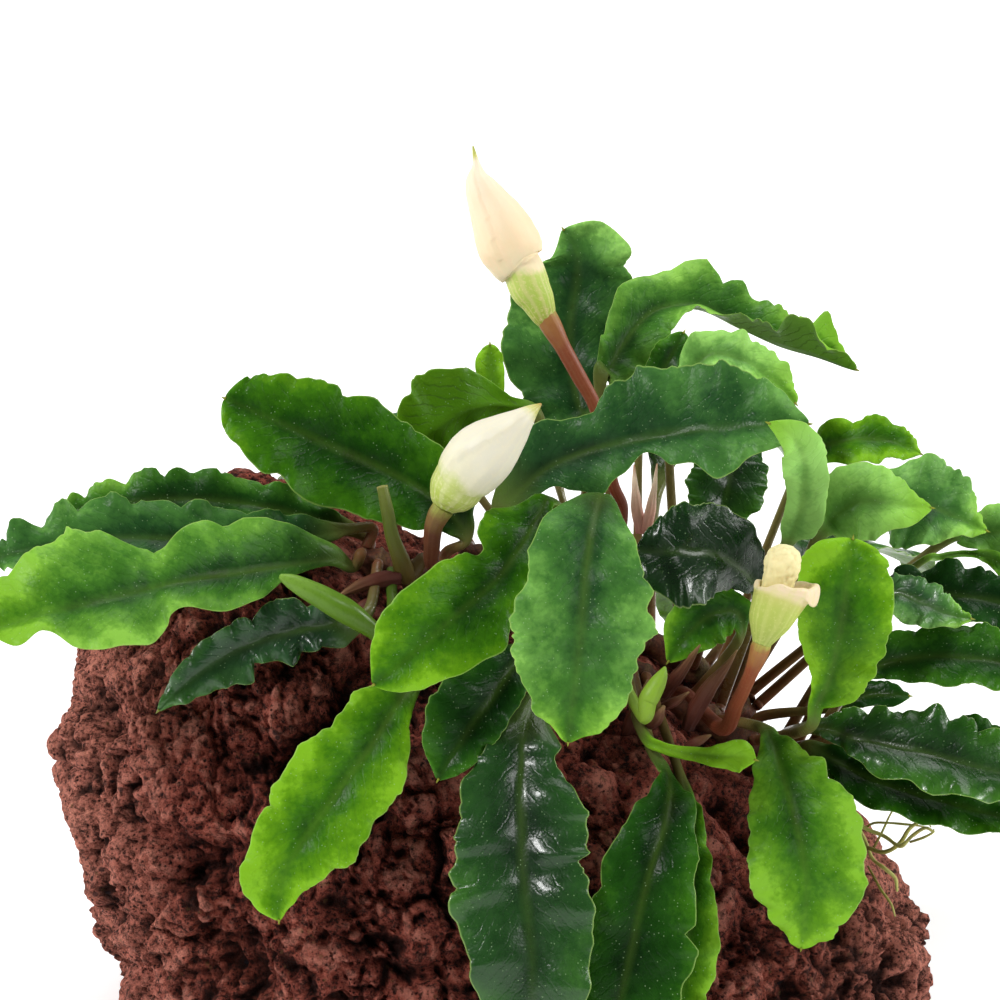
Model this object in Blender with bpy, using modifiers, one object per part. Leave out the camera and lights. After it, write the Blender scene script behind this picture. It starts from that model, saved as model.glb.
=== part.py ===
"""Bucephalandra on stone.

A small creeping aquarium plant grown on one loose piece of red-brown lava rock.
Lengths are in metres in the finished objects; the tables below are in millimetres
or, where they say so, in steps of one fifteen-hundredth of a metre read as seen
from the front. +Z is up, the front faces -Y, and the origin is the middle of the
flat underside of the stone.
"""
import bpy
import numpy as np
from mathutils import Vector

MM = 0.001

# Driving dimensions in millimetres
STONE_HEIGHT = 84.0
LEAF_HALF_THICKNESS = 0.30
PETIOLE_RADIUS = 0.85
RHIZOME_RADIUS = 2.3
CLEARANCE = 0.30

# The front view that the leaf tables are read in
SIGHT_STEP = 0.15
SIGHT_MIDDLE = 500.0
SIGHT_DISTANCE = 500.0
SIGHT_ANGLE = np.radians(20.0)
SIGHT_HEIGHT = 84.0
RIGHTWARD = np.array([1.0, 0.0, 0.0])
UPWARD = np.array([0.0, np.sin(SIGHT_ANGLE), np.cos(SIGHT_ANGLE)])
NEARWARD = np.array([0.0, -np.cos(SIGHT_ANGLE), np.sin(SIGHT_ANGLE)])
SKYWARD = np.array([0.0, 0.0, 1.0])

# Stone outline: reach to the left, right, front and back at each height
STONE_LEVELS = np.array([0.0, 4.0, 9.0, 16.0, 24.0, 35.0, 47.0, 57.0, 66.0, 74.0, 79.0, 82.5, 84.0])
STONE_LEFT = np.array([-56.0, -58.0, -60.0, -61.5, -62.5, -65.0, -66.0, -64.0, -58.0, -51.0, -47.0,
                       -43.5, -41.0])
STONE_RIGHT = np.array([56.0, 64.5, 68.0, 64.0, 57.0, 45.0, 30.0, 15.0, -3.0, -20.0, -31.0, -37.5, -40.0])
STONE_FRONT = np.array([-40.0, -43.0, -44.0, -44.0, -43.0, -39.0, -33.0, -27.0, -20.0, -12.0, -5.0,
                        4.0, 8.0])
STONE_BACK = np.array([40.0, 43.0, 44.0, 44.0, 44.0, 43.0, 41.0, 38.0, 34.0, 29.0, 24.0, 18.0, 12.0])
STONE_SQUARENESS = 2.6
STONE_AROUND = 54
STONE_RISE = 26
STONE_MASS = 15.0

# Long hollows in the stone seen from the front: points across and down, width, depth (mm)
HOLLOWS = [
    ([(352, 690), (318, 722), (285, 762)], 24.0, 3.4),
    ([(180, 872), (225, 850), (292, 838)], 20.0, 2.8),
    ([(244, 930), (252, 965), (250, 1010)], 18.0, 2.6),
    ([(432, 842), (430, 868), (440, 900)], 18.0, 2.6),
    ([(728, 800), (742, 816), (758, 832)], 22.0, 2.8),
    ([(96, 700), (120, 742), (112, 792)], 18.0, 2.0),
    ([(330, 900), (372, 930), (402, 985)], 18.0, 2.2),
    ([(870, 905), (885, 950), (880, 1010)], 18.0, 2.0),
]

# Cross-section of a leaf: six points round its blade, and the same six round its stalk
BLADE_ACROSS = np.array([1.0, 0.42, -0.42, -1.0, -0.42, 0.42])
BLADE_THROUGH = np.array([0.0, 0.9, 0.9, 0.0, -0.9, -0.9])
STALK_ACROSS = np.array([1.0, 0.5, -0.5, -1.0, -0.5, 0.5])
STALK_THROUGH = np.array([0.0, 0.87, 0.87, 0.0, -0.87, -0.87])
BLADE_STATIONS = np.array([0.11, 0.27, 0.43, 0.59, 0.75, 0.89, 0.97])
# The ring from which the blade faces the viewer or the sky; the stalk follows it
FACING_RING = 4

# Colours: red, green, blue (linear) and roughness
COLOURS = {
    "stone": ((0.20, 0.085, 0.065), 0.9),
    "leaf_old": ((0.009, 0.036, 0.006), 0.3),
    "leaf_young": ((0.13, 0.30, 0.02), 0.35),
    "rhizome": ((0.10, 0.09, 0.03), 0.7),
    "spathe": ((0.88, 0.78, 0.55), 0.45),
    "spadix": ((0.94, 0.82, 0.45), 0.6),
    "flower_stalk": ((0.19, 0.06, 0.02), 0.4),
}

# How young each leaf is: 0 for old dark green, 1 for new yellow-green
YOUNG = {
    "leaf_01": 0.56, "leaf_02": 0.20, "leaf_03": 0.24, "leaf_04": 0.06, "leaf_05": 0.22, "leaf_06": 0.62,
    "leaf_07": 0.90, "leaf_08": 0.18, "leaf_09": 0.50, "leaf_10": 0.10, "leaf_11": 0.42, "leaf_12": 0.12,
    "leaf_13": 0.66, "leaf_14": 0.46, "leaf_15": 0.40, "leaf_16": 0.16, "leaf_17": 0.30, "leaf_18": 0.12,
    "leaf_19": 0.10, "leaf_20": 0.08, "leaf_21": 0.12, "leaf_22": 0.74, "leaf_23": 0.00, "leaf_24": 0.70,
    "leaf_25": 0.14, "leaf_26": 0.34, "leaf_27": 0.70, "leaf_28": 0.22, "leaf_29": 0.84, "leaf_30": 0.06,
    "leaf_31": 0.26, "leaf_32": 0.56, "leaf_33": 0.42, "leaf_34": 0.16, "leaf_35": 0.14, "leaf_36": 0.06,
    "leaf_37": 0.20, "leaf_38": 0.86, "leaf_39": 0.30, "leaf_40": 0.20, "leaf_41": 0.36, "leaf_42": 0.16,
    "leaf_43": 0.30, "leaf_44": 0.50, "leaf_rolled": 0.80, "bud_small": 1.00, "stalk_cut": 0.25,
}

# Creeping stems: points in plan (x, y), laid on the stone
RHIZOMES = {
    "rhizome_left": [(-22.0, -5.0), (-14.0, -5.0), (-5.0, -4.0), (4.0, -3.0)],
    "rhizome_front": [(9.0, 0.0), (18.0, -1.0), (28.0, -2.0), (38.0, 1.0), (46.0, 4.0)],
    "rhizome_back": [(-6.0, 14.0), (6.0, 16.0), (18.0, 15.0), (30.0, 16.0), (40.0, 17.0)],
}

# Leaves. "stem" is where the stalk leaves its creeping stem: the name, the share of
# the length and the angle round it (-90 front, 0 top, 90 back). Each row is seen from
# the front: across, down, near (mm), half width on the left-hand side of growth,
# half width on the right-hand side. "waves" and "height" (mm) shape the margin.
LEAVES = {
    "leaf_01": dict(stem=("rhizome_left", 0.03, -60), waves=5, height=0.9, phase=0.3,
                    roll=(0, 25, 30, 28), rows=[
        (352, 567, 6, 6, 6), (328, 558, 10, 8, 10), (285, 562, 15, 18, 34), (220, 574, 21, 37, 44),
        (150, 591, 26, 45, 48), (90, 606, 30, 49, 60), (35, 618, 33, 28, 56), (-12, 629, 34, 16, 34)]),
    "leaf_02": dict(stem=("rhizome_left", 0.06, 15), waves=5, height=0.9, phase=1.3,
                    roll=(0, 25, 30, 28), rows=[
        (345, 530, 4, 6, 7), (300, 539, 7, 15, 24), (240, 542, 10, 24, 31), (170, 539, 12, 30, 34),
        (110, 539, 14, 32, 38), (55, 546, 15, 25, 30), (8, 557, 15, 12, 17)]),
    "leaf_03": dict(stem=("rhizome_left", 0.08, 75), waves=4, height=0.7, phase=2.0,
                    roll=(0, 25, 25, 25), rows=[
        (352, 530, 0, 7, 8), (300, 515, 2, 17, 18), (230, 502, 3, 24, 26), (160, 500, 4, 26, 27),
        (100, 506, 4, 22, 21), (58, 513, 4, 10, 9)]),
    "leaf_04": dict(stem=("rhizome_left", 0.15, -75), waves=4, height=0.7, phase=0.0, rows=[
        (368, 612, 12, 6, 6), (335, 624, 15, 20, 14), (290, 632, 17, 30, 28), (245, 645, 18, 32, 28),
        (205, 668, 18, 26, 22), (175, 693, 18, 16, 14), (158, 711, 18, 6, 6)]),
    "leaf_05": dict(stem=("rhizome_left", 0.50, 20), waves=5, height=0.8, phase=0.7,
                    roll=(0, 12, 15, 15), rows=[
        (466, 540, 0, 6, 6), (450, 513, 2, 24, 30), (410, 483, 4, 46, 46), (350, 455, 6, 58, 56),
        (290, 428, 8, 52, 50), (248, 409, 9, 40, 40), (224, 398, 9, 26, 26)]),
    "leaf_06": dict(stem=("rhizome_back", 0.15, 10), waves=4, height=0.7, phase=0.2,
                    roll=(0, -20, -20), rows=[
        (540, 424, -9, 6, 6), (505, 405, -8, 14, 12), (470, 408, -6, 30, 42), (440, 424, -5, 34, 46),
        (420, 440, -5, 24, 34), (410, 450, -5, 14, 18)]),
    "leaf_07": dict(stem=("rhizome_back", 0.10, 40), waves=2, height=0.4, phase=0.2, rows=[
        (500, 430, -15, 5, 5), (495, 395, -15, 14, 10), (491, 362, -15, 16, 13), (490, 344, -15, 8, 9)]),
    "leaf_08": dict(stem=("rhizome_back", 0.33, 60), waves=5, height=0.8, phase=1.0, rows=[
        (590, 440, -20, 6, 6), (580, 408, -22, 44, 24), (572, 370, -24, 66, 45), (570, 325, -25, 68, 62),
        (577, 280, -25, 64, 57), (585, 248, -24, 42, 46), (592, 226, -23, 26, 28)]),
    "leaf_09": dict(stem=("rhizome_back", 0.48, 40), waves=6, height=0.9, phase=0.5, facing="sky",
                    roll=(40, 38, 30, 15, 5, 0), fold=(5, 8, 20, 45, 60, 60), rows=[
        (600, 392, -14, 6, 6), (622, 346, -18, 24, 18), (653, 312, -21, 42, 30), (697, 307, -22, 44, 32),
        (740, 326, -21, 34, 40), (780, 344, -19, 34, 46), (820, 356, -17, 32, 40), (857, 370, -15, 14, 16)]),
    "leaf_10": dict(stem=("rhizome_back", 0.52, -20), waves=3, height=0.5, phase=0.5, rows=[
        (640, 425, -12, 5, 5), (655, 388, -13, 16, 20), (670, 358, -13, 20, 24), (684, 332, -13, 10, 12)]),
    "leaf_11": dict(stem=("rhizome_back", 0.66, 20), waves=5, height=0.8, phase=2.2,
                    roll=(0, -25, -28), rows=[
        (668, 425, -4, 5, 5), (682, 385, -3, 12, 10), (708, 356, -2, 24, 22), (742, 360, -1, 24, 26),
        (772, 380, 0, 20, 24), (796, 404, 1, 11, 14)]),
    "leaf_12": dict(stem=("rhizome_left", 0.93, 10), waves=6, height=0.9, phase=0.2,
                    roll=(0, -12, -20, -18), rows=[
        (498, 522, 8, 7, 7), (520, 492, 11, 28, 14), (548, 470, 13, 40, 20), (592, 450, 16, 44, 42),
        (637, 440, 19, 60, 24), (693, 431, 22, 62, 40), (740, 427, 24, 60, 46), (778, 425, 25, 44, 32),
        (808, 424, 25, 20, 18)]),
    "leaf_13": dict(stem=("rhizome_back", 0.86, -50), waves=4, height=0.9, phase=0.9, rows=[
        (773, 552, 6, 5, 5), (784, 522, 12, 9, 12), (800, 496, 17, 15, 24), (803, 465, 23, 20, 29),
        (800, 440, 29, 28, 33), (792, 424, 31, 22, 22)]),
    "leaf_14": dict(stem=("rhizome_back", 0.90, -10), waves=4, height=0.7, phase=0.1,
                    roll=(0, -20, -25), rows=[
        (808, 545, 4, 5, 5), (830, 516, 6, 22, 16), (852, 502, 8, 36, 26), (882, 502, 10, 32, 34),
        (907, 507, 11, 18, 24), (932, 508, 11, 6, 8)]),
    "leaf_15": dict(stem=("rhizome_back", 0.84, 50), waves=4, height=0.6, phase=0.4,
                    roll=(0, -35, -35), rows=[
        (796, 476, -14, 5, 5), (824, 446, -12, 14, 12), (855, 438, -10, 20, 16), (885, 439, -9, 18, 16),
        (905, 445, -8, 12, 10), (919, 453, -8, 5, 5)]),
    "leaf_16": dict(stem=("rhizome_back", 0.93, 30), waves=5, height=0.8, phase=1.1,
                    roll=(0, -25, -28), rows=[
        (852, 522, -4, 5, 5), (882, 501, -2, 24, 24), (915, 502, 0, 42, 44), (945, 513, 1, 42, 34),
        (970, 524, 2, 18, 16), (987, 531, 2, 6, 7)]),
    "leaf_17": dict(stem=("rhizome_back", 0.97, 32), waves=3, height=0.6, phase=0.4,
                    roll=(0, -30, -35), rows=[
        (935, 548, -12, 5, 5), (968, 536, -11, 14, 14), (1004, 533, -10, 28, 28), (1035, 540, -9, 20, 20),
        (1054, 546, -9, 7, 7)]),
    "leaf_18": dict(stem=("rhizome_back", 0.99, -5), waves=3, height=0.6, phase=0.8,
                    roll=(0, -15, -25), rows=[
        (905, 574, -7, 4, 4), (943, 556, -6, 4, 4), (985, 556, -6, 5, 5), (1010, 572, -6, 14, 14),
        (1034, 592, -7, 16, 16), (1056, 610, -7, 7, 7)]),
    "leaf_19": dict(stem=("rhizome_front", 0.97, 25), waves=5, height=0.7, phase=0.4,
                    roll=(0, -30, -35), rows=[
        (864, 604, -1, 5, 5), (896, 590, 0, 18, 16), (940, 594, 1, 30, 26), (985, 600, 2, 28, 28),
        (1030, 608, 2, 20, 20), (1056, 612, 2, 7, 7)]),
    "leaf_20": dict(stem=("rhizome_front", 0.90, 20), waves=5, height=0.6, phase=1.9,
                    roll=(0, -20, -25), rows=[
        (868, 600, 6, 5, 5), (892, 592, 8, 18, 20), (924, 604, 10, 22, 26), (950, 615, 11, 14, 14),
        (972, 619, 11, 6, 6)]),
    "leaf_21": dict(stem=("rhizome_front", 0.98, -10), waves=5, height=0.7, phase=0.0,
                    roll=(0, -35, -38), rows=[
        (852, 684, 6, 6, 6), (885, 664, 9, 22, 16), (930, 657, 11, 28, 28), (980, 660, 13, 30, 28),
        (1024, 668, 14, 22, 24), (1058, 675, 14, 8, 8)]),
    "leaf_22": dict(stem=("rhizome_front", 0.74, -60), waves=5, height=0.8, phase=0.6, rows=[
        (808, 728, 12, 6, 6), (818, 700, 16, 10, 12), (830, 670, 18, 22, 36), (838, 640, 20, 32, 48),
        (844, 605, 22, 41, 47), (848, 570, 23, 46, 42), (851, 539, 23, 32, 24)]),
    "leaf_23": dict(stem=("rhizome_front", 0.62, 30), waves=5, height=0.8, phase=2.6,
                    roll=(0, 15, 20), rows=[
        (756, 604, 2, 5, 5), (748, 577, 7, 16, 26), (718, 556, 13, 38, 46), (682, 552, 16, 56, 44),
        (655, 552, 17, 44, 30), (636, 550, 17, 22, 16)]),
    "leaf_24": dict(stem=("rhizome_front", 0.50, -20), waves=4, height=0.5, phase=0.3, rows=[
        (738, 636, 0, 5, 5), (733, 613, 3, 12, 10), (712, 616, 5, 18, 20), (690, 634, 6, 18, 20),
        (670, 658, 7, 8, 8)]),
    "leaf_25": dict(stem=("rhizome_back", 0.72, -40), waves=4, height=0.6, phase=0.9, rows=[
        (748, 440, -4, 5, 5), (734, 452, 2, 26, 24), (727, 478, 5, 34, 34), (722, 502, 6, 30, 30),
        (720, 522, 6, 12, 12)]),
    "leaf_26": dict(stem=("rhizome_front", 0.04, -10), waves=6, height=0.9, phase=0.4, rows=[
        (608, 520, 20, 6, 6), (601, 497, 27, 12, 12), (593, 528, 35, 40, 44), (586, 578, 39, 60, 63),
        (582, 630, 40, 60, 61), (577, 680, 40, 42, 50), (571, 716, 39, 35, 38), (567, 741, 38, 17, 16)]),
    "leaf_27": dict(stem=("rhizome_left", 0.78, -40), waves=5, height=0.9, phase=1.2, rows=[
        (556, 518, 12, 6, 6), (550, 495, 18, 8, 8), (530, 532, 24, 20, 25), (500, 576, 28, 36, 32),
        (461, 611, 32, 54, 48), (421, 647, 34, 42, 52), (391, 672, 35, 28, 36), (374, 687, 35, 14, 16)]),
    "leaf_28": dict(stem=("rhizome_left", 0.90, -70), waves=4, height=0.6, phase=0.2, rows=[
        (530, 642, 16, 6, 6), (512, 668, 20, 18, 30), (488, 702, 23, 24, 44), (463, 735, 25, 24, 44),
        (451, 762, 26, 16, 26), (445, 779, 26, 6, 8)]),
    "leaf_29": dict(stem=("rhizome_left", 0.44, -80), waves=6, height=0.9, phase=0.0, rows=[
        (420, 668, 18, 6, 6), (402, 698, 24, 16, 16), (368, 755, 27, 46, 44), (328, 812, 29, 46, 50),
        (292, 866, 30, 40, 46), (270, 903, 30, 26, 30), (261, 921, 30, 12, 14)]),
    "leaf_30": dict(stem=("rhizome_front", 0.02, -70), waves=6, height=0.9, phase=0.7, rows=[
        (545, 672, 12, 6, 6), (530, 712, 20, 16, 14), (523, 755, 25, 38, 38), (521, 810, 28, 52, 50),
        (523, 870, 30, 64, 66), (528, 930, 31, 62, 62), (532, 990, 31, 58, 60), (533, 1045, 30, 38, 40),
        (533, 1076, 29, 16, 16)]),
    "leaf_31": dict(stem=("rhizome_front", 0.28, -60), waves=6, height=0.9, phase=0.4, rows=[
        (650, 745, 8, 6, 6), (668, 775, 14, 8, 8), (668, 812, 22, 26, 30), (655, 855, 26, 42, 42),
        (641, 905, 27, 50, 46), (631, 950, 27, 60, 46), (620, 1000, 27, 50, 40), (610, 1040, 26, 26, 24),
        (605, 1060, 25, 9, 9)]),
    "leaf_32": dict(stem=("rhizome_front", 0.36, -70), waves=5, height=0.6, phase=1.4, rows=[
        (680, 775, 6, 5, 5), (690, 808, 13, 10, 10), (692, 850, 17, 16, 18), (690, 900, 20, 24, 24),
        (687, 960, 20, 30, 28), (680, 1005, 20, 20, 20), (675, 1035, 20, 8, 8)]),
    "leaf_33": dict(stem=("rhizome_front", 0.60, -65), waves=6, height=0.9, phase=1.2, rows=[
        (762, 728, 4, 6, 6), (772, 742, 9, 14, 12), (780, 768, 13, 36, 28), (792, 808, 16, 54, 42),
        (802, 852, 18, 62, 54), (806, 896, 18, 52, 48), (804, 930, 17, 32, 26), (801, 949, 16, 11, 11)]),
    "leaf_34": dict(stem=("rhizome_front", 0.84, -20), waves=6, height=0.8, phase=0.3,
                    roll=(0, -30, -38), rows=[
        (804, 728, 1, 6, 6), (824, 729, 7, 14, 8), (850, 737, 11, 27, 14), (880, 744, 13, 33, 30),
        (920, 752, 15, 38, 34), (960, 763, 16, 40, 36), (1000, 773, 16, 28, 28), (1034, 783, 16, 14, 14),
        (1050, 788, 16, 6, 6)]),
    "leaf_35": dict(stem=("rhizome_front", 0.92, -30), waves=4, height=0.6, phase=1.3,
                    roll=(0, -30, -30), rows=[
        (880, 735, 2, 5, 5), (925, 740, 5, 16, 14), (970, 741, 6, 20, 18), (1018, 749, 7, 18, 16),
        (1048, 757, 7, 6, 6)]),
    "leaf_36": dict(stem=("rhizome_front", 0.90, -75), waves=6, height=0.8, phase=2.0,
                    roll=(0, -30, -32), rows=[
        (806, 746, -2, 6, 6), (834, 760, 1, 14, 18), (872, 780, 4, 24, 26), (920, 796, 6, 26, 26),
        (965, 808, 7, 24, 25), (1010, 820, 7, 16, 16), (1042, 828, 7, 6, 6)]),
    "leaf_37": dict(stem=("rhizome_front", 0.76, 15), waves=2, height=0.4, phase=0.0,
                    roll=(0, -30, -30), rows=[
        (832, 708, -9, 5, 5), (862, 696, -6, 12, 12), (890, 695, -4, 12, 12), (910, 696, -4, 5, 5)]),
    "leaf_38": dict(stem=("rhizome_front", 0.20, -30), waves=2, height=0.4, phase=0.0, rows=[
        (640, 726, 9, 6, 6), (664, 748, 14, 6, 7), (700, 754, 18, 7, 8), (722, 756, 20, 12, 12),
        (742, 756, 21, 16, 16), (756, 760, 21, 6, 6)]),
}

# Leaves on the far side, in millimetres in space: x, y, z and the two half widths
FAR_LEAVES = {
    "leaf_39": dict(stem=("rhizome_back", 0.03, 85), waves=5, height=0.7, phase=0.0, rows=[
        (-12, 22, 77, 0.9, 0.9), (-19, 30, 80, 4, 4), (-27, 40, 77, 6, 6), (-32, 48, 70, 5, 5),
        (-34, 53, 62, 1.5, 1.5)]),
    "leaf_40": dict(stem=("rhizome_back", 0.22, 80), waves=5, height=0.8, phase=0.9, rows=[
        (-5, 26, 78, 0.9, 0.9), (-8, 36, 81, 5, 5), (-11, 50, 80, 8, 8), (-13, 62, 72, 6, 6),
        (-14, 68, 64, 1.5, 1.5)]),
    "leaf_41": dict(stem=("rhizome_back", 0.42, 85), waves=5, height=0.8, phase=1.9, rows=[
        (9, 28, 78, 0.9, 0.9), (11, 38, 83, 5, 5), (14, 52, 84, 8, 8), (18, 66, 76, 6, 6),
        (20, 73, 67, 1.5, 1.5)]),
    "leaf_42": dict(stem=("rhizome_back", 0.62, 80), waves=5, height=0.8, phase=2.9, rows=[
        (25, 30, 74, 0.9, 0.9), (29, 40, 80, 5, 5), (38, 54, 81, 8, 8), (46, 66, 73, 6, 6),
        (50, 72, 65, 1.5, 1.5)]),
    "leaf_43": dict(stem=("rhizome_back", 0.82, 80), waves=5, height=0.8, phase=3.9, rows=[
        (42, 28, 57, 0.9, 0.9), (48, 34, 60, 5, 5), (59, 44, 60, 7, 7), (69, 54, 53, 5, 5),
        (75, 60, 45, 1.5, 1.5)]),
    "leaf_44": dict(stem=("rhizome_back", 0.55, 95), waves=5, height=0.8, phase=4.9, rows=[
        (24, 32, 60, 0.9, 0.9), (26, 43, 60, 5, 5), (29, 54, 53, 8, 8), (32, 62, 41, 6, 6),
        (34, 67, 31, 1.5, 1.5)]),
}

# Round parts seen from the front: across, down, near (mm) and radius. "sides" is even
ROUND_PARTS = {
    "leaf_rolled": dict(stem=("rhizome_left", 0.24, -85), sides=6, rows=[
        (392, 643, 16, 6), (372, 630, 18.5, 8), (345, 611, 20.5, 10), (315, 594, 22, 9), (292, 582, 23, 7),
        (282, 577, 23.5, 3)]),
    "stalk_cut": dict(stem=("rhizome_left", 0.36, -40), sides=6, rows=[
        (399, 552, 9, 6), (390, 520, 11, 6), (383, 492, 12, 6), (381, 484, 12, 5)]),
    "bud_small": dict(stem=("rhizome_front", 0.12, -45), sides=6, rows=[
        (641, 714, 11, 6), (648, 700, 12, 10), (656, 686, 12, 9), (662, 675, 12, 6), (665, 667, 12, 1.5)]),
    "spathe_tall": dict(sides=8, rows=[
        (544, 316, 5, 12), (536, 298, 5, 19), (528, 282, 5, 23), (517, 264, 5, 28), (510, 244, 5, 33),
        (501, 222, 5, 31), (489, 197, 5, 21), (480, 173, 5, 10), (475, 149, 5, 1.5)]),
    "stalk_tall": dict(stem=("rhizome_front", 0.10, 40), sides=6, rows=[
        (622, 520, -5, 6), (612, 480, 0, 6), (597, 412, 3, 6.5), (580, 378, 4, 7.5), (561, 345, 5, 8.5),
        (547, 321, 5, 11)]),
    "spathe_closed": dict(sides=8, rows=[
        (441, 505, 24, 9), (448, 495, 24, 19), (461, 483, 25, 25), (478, 466, 27, 28), (494, 450, 28, 27),
        (509, 435, 29, 22), (523, 420, 30, 13), (533, 411, 30, 6), (541, 404, 30, 1.5)]),
    "stalk_closed": dict(stem=("rhizome_left", 0.58, -45), sides=6, rows=[
        (434, 565, 13, 7), (432, 542, 19, 8), (434, 526, 22, 9), (437, 514, 23.4, 9)]),
    "stalk_open": dict(stem=("rhizome_front", 0.46, -55), sides=6, rows=[
        (722, 728, 9, 8), (735, 703, 18, 9), (750, 673, 26, 9), (760, 650, 30, 10), (761.5, 646, 30.3, 10)]),
    "spadix": dict(sides=8, rows=[
        (769, 612, 31, 10), (774, 598, 31, 13), (779, 580, 31, 15), (783, 562, 31, 17), (785, 551, 31, 14),
        (786, 545, 31, 7)]),
    "root_long": dict(stem=("rhizome_front", 0.99, -70), start=0.3, sides=6, rows=[
        (842, 800, -10, 2), (864, 838, -9, 2), (872, 858, -8, 2), (884, 868, -6, 2), (895, 878, -6, 2),
        (897, 891, -6, 1.5)]),
    "root_bent": dict(stem=("rhizome_front", 0.96, -85), start=0.3, sides=6, rows=[
        (836, 800, -6, 2), (862, 826, -6, 2), (884, 836, -5, 2), (900, 846, -2, 2), (912, 836, 0, 2),
        (925, 828, 2, 2), (934, 832, 2, 1.5)]),
}

# Open spathe: middle of its foot and of its mouth seen from the front, and its profile
# from the floor inside over the rim to the foot: share of the length, radius in steps
CUP_FOOT = (762.5, 640.0, 30.7)
CUP_MOUTH = (781.0, 588.0, 31.0)
CUP_SIDES = 11
CUP_PROFILE = [(0.42, 0.0), (0.42, 8.0), (0.50, 17.0), (0.75, 20.5), (1.02, 27.0), (1.08, 31.0), (1.0, 32.0),
               (0.88, 28.0), (0.65, 24.0), (0.35, 20.0), (0.12, 14.0), (0.02, 9.0), (0.02, 0.0)]


def unit(vector):
    """Return vectors of length one along the last axis."""
    return vector / np.linalg.norm(vector, axis=-1, keepdims=True)


def from_sight(across, down, near):
    """Turn a point seen from the front into millimetres in space."""
    step = SIGHT_STEP * (SIGHT_DISTANCE - near) / SIGHT_DISTANCE
    aside = (across - SIGHT_MIDDLE) * step
    above = (SIGHT_MIDDLE - down) * step
    middle = np.array([0.0, 0.0, SIGHT_HEIGHT])
    return middle + RIGHTWARD * aside + UPWARD * above + NEARWARD * near


def to_sight(points):
    """Turn millimetres in space into across, down and near as seen from the front."""
    raised = points - np.array([0.0, 0.0, SIGHT_HEIGHT])
    near = raised @ NEARWARD
    step = SIGHT_STEP * (SIGHT_DISTANCE - near) / SIGHT_DISTANCE
    return SIGHT_MIDDLE + raised @ RIGHTWARD / step, SIGHT_MIDDLE - raised @ UPWARD / step, near


def through_points(points, stations):
    """Run a smooth curve through the points; a station is a point number and a share."""
    points = np.asarray(points, dtype=float)
    before = 2.0 * points[0] - points[1]
    after = 2.0 * points[-1] - points[-2]
    padded = np.vstack([before, points, after])
    first = np.clip(np.floor(stations).astype(int), 0, len(points) - 2)
    share = (stations - first)[:, None]
    p0 = padded[first]
    p1 = padded[first + 1]
    p2 = padded[first + 2]
    p3 = padded[first + 3]
    straight = 2.0 * p1 + (p2 - p0) * share
    bent = (2.0 * p0 - 5.0 * p1 + 4.0 * p2 - p3) * share ** 2
    bent = bent + (3.0 * p1 - p0 - 3.0 * p2 + p3) * share ** 3
    return 0.5 * (straight + bent)


def stone_swell(x, y, z):
    """Give the outward swelling of the stone's big lumps in millimetres."""
    first = np.sin(x * 0.21 + 1.3 * np.sin(z * 0.13) + 0.4) * np.cos(z * 0.19 + 0.7)
    second = np.sin(y * 0.24 + z * 0.11 + 1.1) * np.sin(x * 0.15 - y * 0.09 + 2.0)
    third = np.sin(x * 0.43 + y * 0.37 + 0.9) * np.sin(z * 0.41 + 0.2)
    return 1.1 * first + 1.0 * second + 0.6 * third


def stone_reach(around, z):
    """Give the stone's middle at a height and its edge in a direction round it."""
    left = np.interp(z, STONE_LEVELS, STONE_LEFT)
    right = np.interp(z, STONE_LEVELS, STONE_RIGHT)
    front = np.interp(z, STONE_LEVELS, STONE_FRONT)
    back = np.interp(z, STONE_LEVELS, STONE_BACK)
    middle_x = 0.5 * (left + right)
    middle_y = 0.5 * (front + back)
    wide = 0.5 * (right - left)
    deep = 0.5 * (back - front)
    east = np.cos(around)
    north = np.sin(around)
    power = STONE_SQUARENESS
    reach = (np.abs(east / wide) ** power + np.abs(north / deep) ** power) ** (-1.0 / power)
    swell = stone_swell(middle_x + east * reach, middle_y + north * reach, z)
    fade = np.clip(z / 6.0, 0.0, 1.0) * np.clip((STONE_HEIGHT - z) / 6.0, 0.0, 1.0)
    reach = reach + swell * fade * np.clip(reach / 8.0, 0.0, 1.0)
    return middle_x, middle_y, reach


def stone_top(x, y):
    """Find the height of the stone's upper surface over a point in plan."""
    for z in np.arange(STONE_HEIGHT, 0.0, -0.1):
        middle_x, middle_y, reach = stone_reach(0.0, z)
        around = np.arctan2(y - middle_y, x - middle_x)
        middle_x, middle_y, reach = stone_reach(around, z)
        if np.hypot(x - middle_x, y - middle_y) < reach:
            return z
    return 0.0


def lattice_value(x, y, z, seed):
    """Give a fixed random number from -1 to 1 for whole-number coordinates."""
    mixed = (x * 374761393 + y * 668265263 + z * 1274126177 + seed * 974634777) & 0x7FFFFFFF
    mixed = ((mixed ^ (mixed >> 13)) * 1103515245) & 0x7FFFFFFF
    mixed = ((mixed ^ (mixed >> 15)) * 12345677) & 0x7FFFFFFF
    return (mixed & 0xFFFFFF) / 8388607.5 - 1.0


def smooth_noise(points, size, seed):
    """Give a random field: values a size apart, eased between on each axis."""
    scaled = points / size
    low = np.floor(scaled).astype(np.int64)
    part = scaled - low
    ease = part * part * (3.0 - 2.0 * part)
    total = np.zeros(len(points))
    for corner in range(8):
        step = np.array([corner & 1, (corner >> 1) & 1, (corner >> 2) & 1])
        weight = np.prod(np.where(step == 1, ease, 1.0 - ease), axis=1)
        place = low + step
        total = total + weight * lattice_value(place[:, 0], place[:, 1], place[:, 2], seed)
    return total


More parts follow.
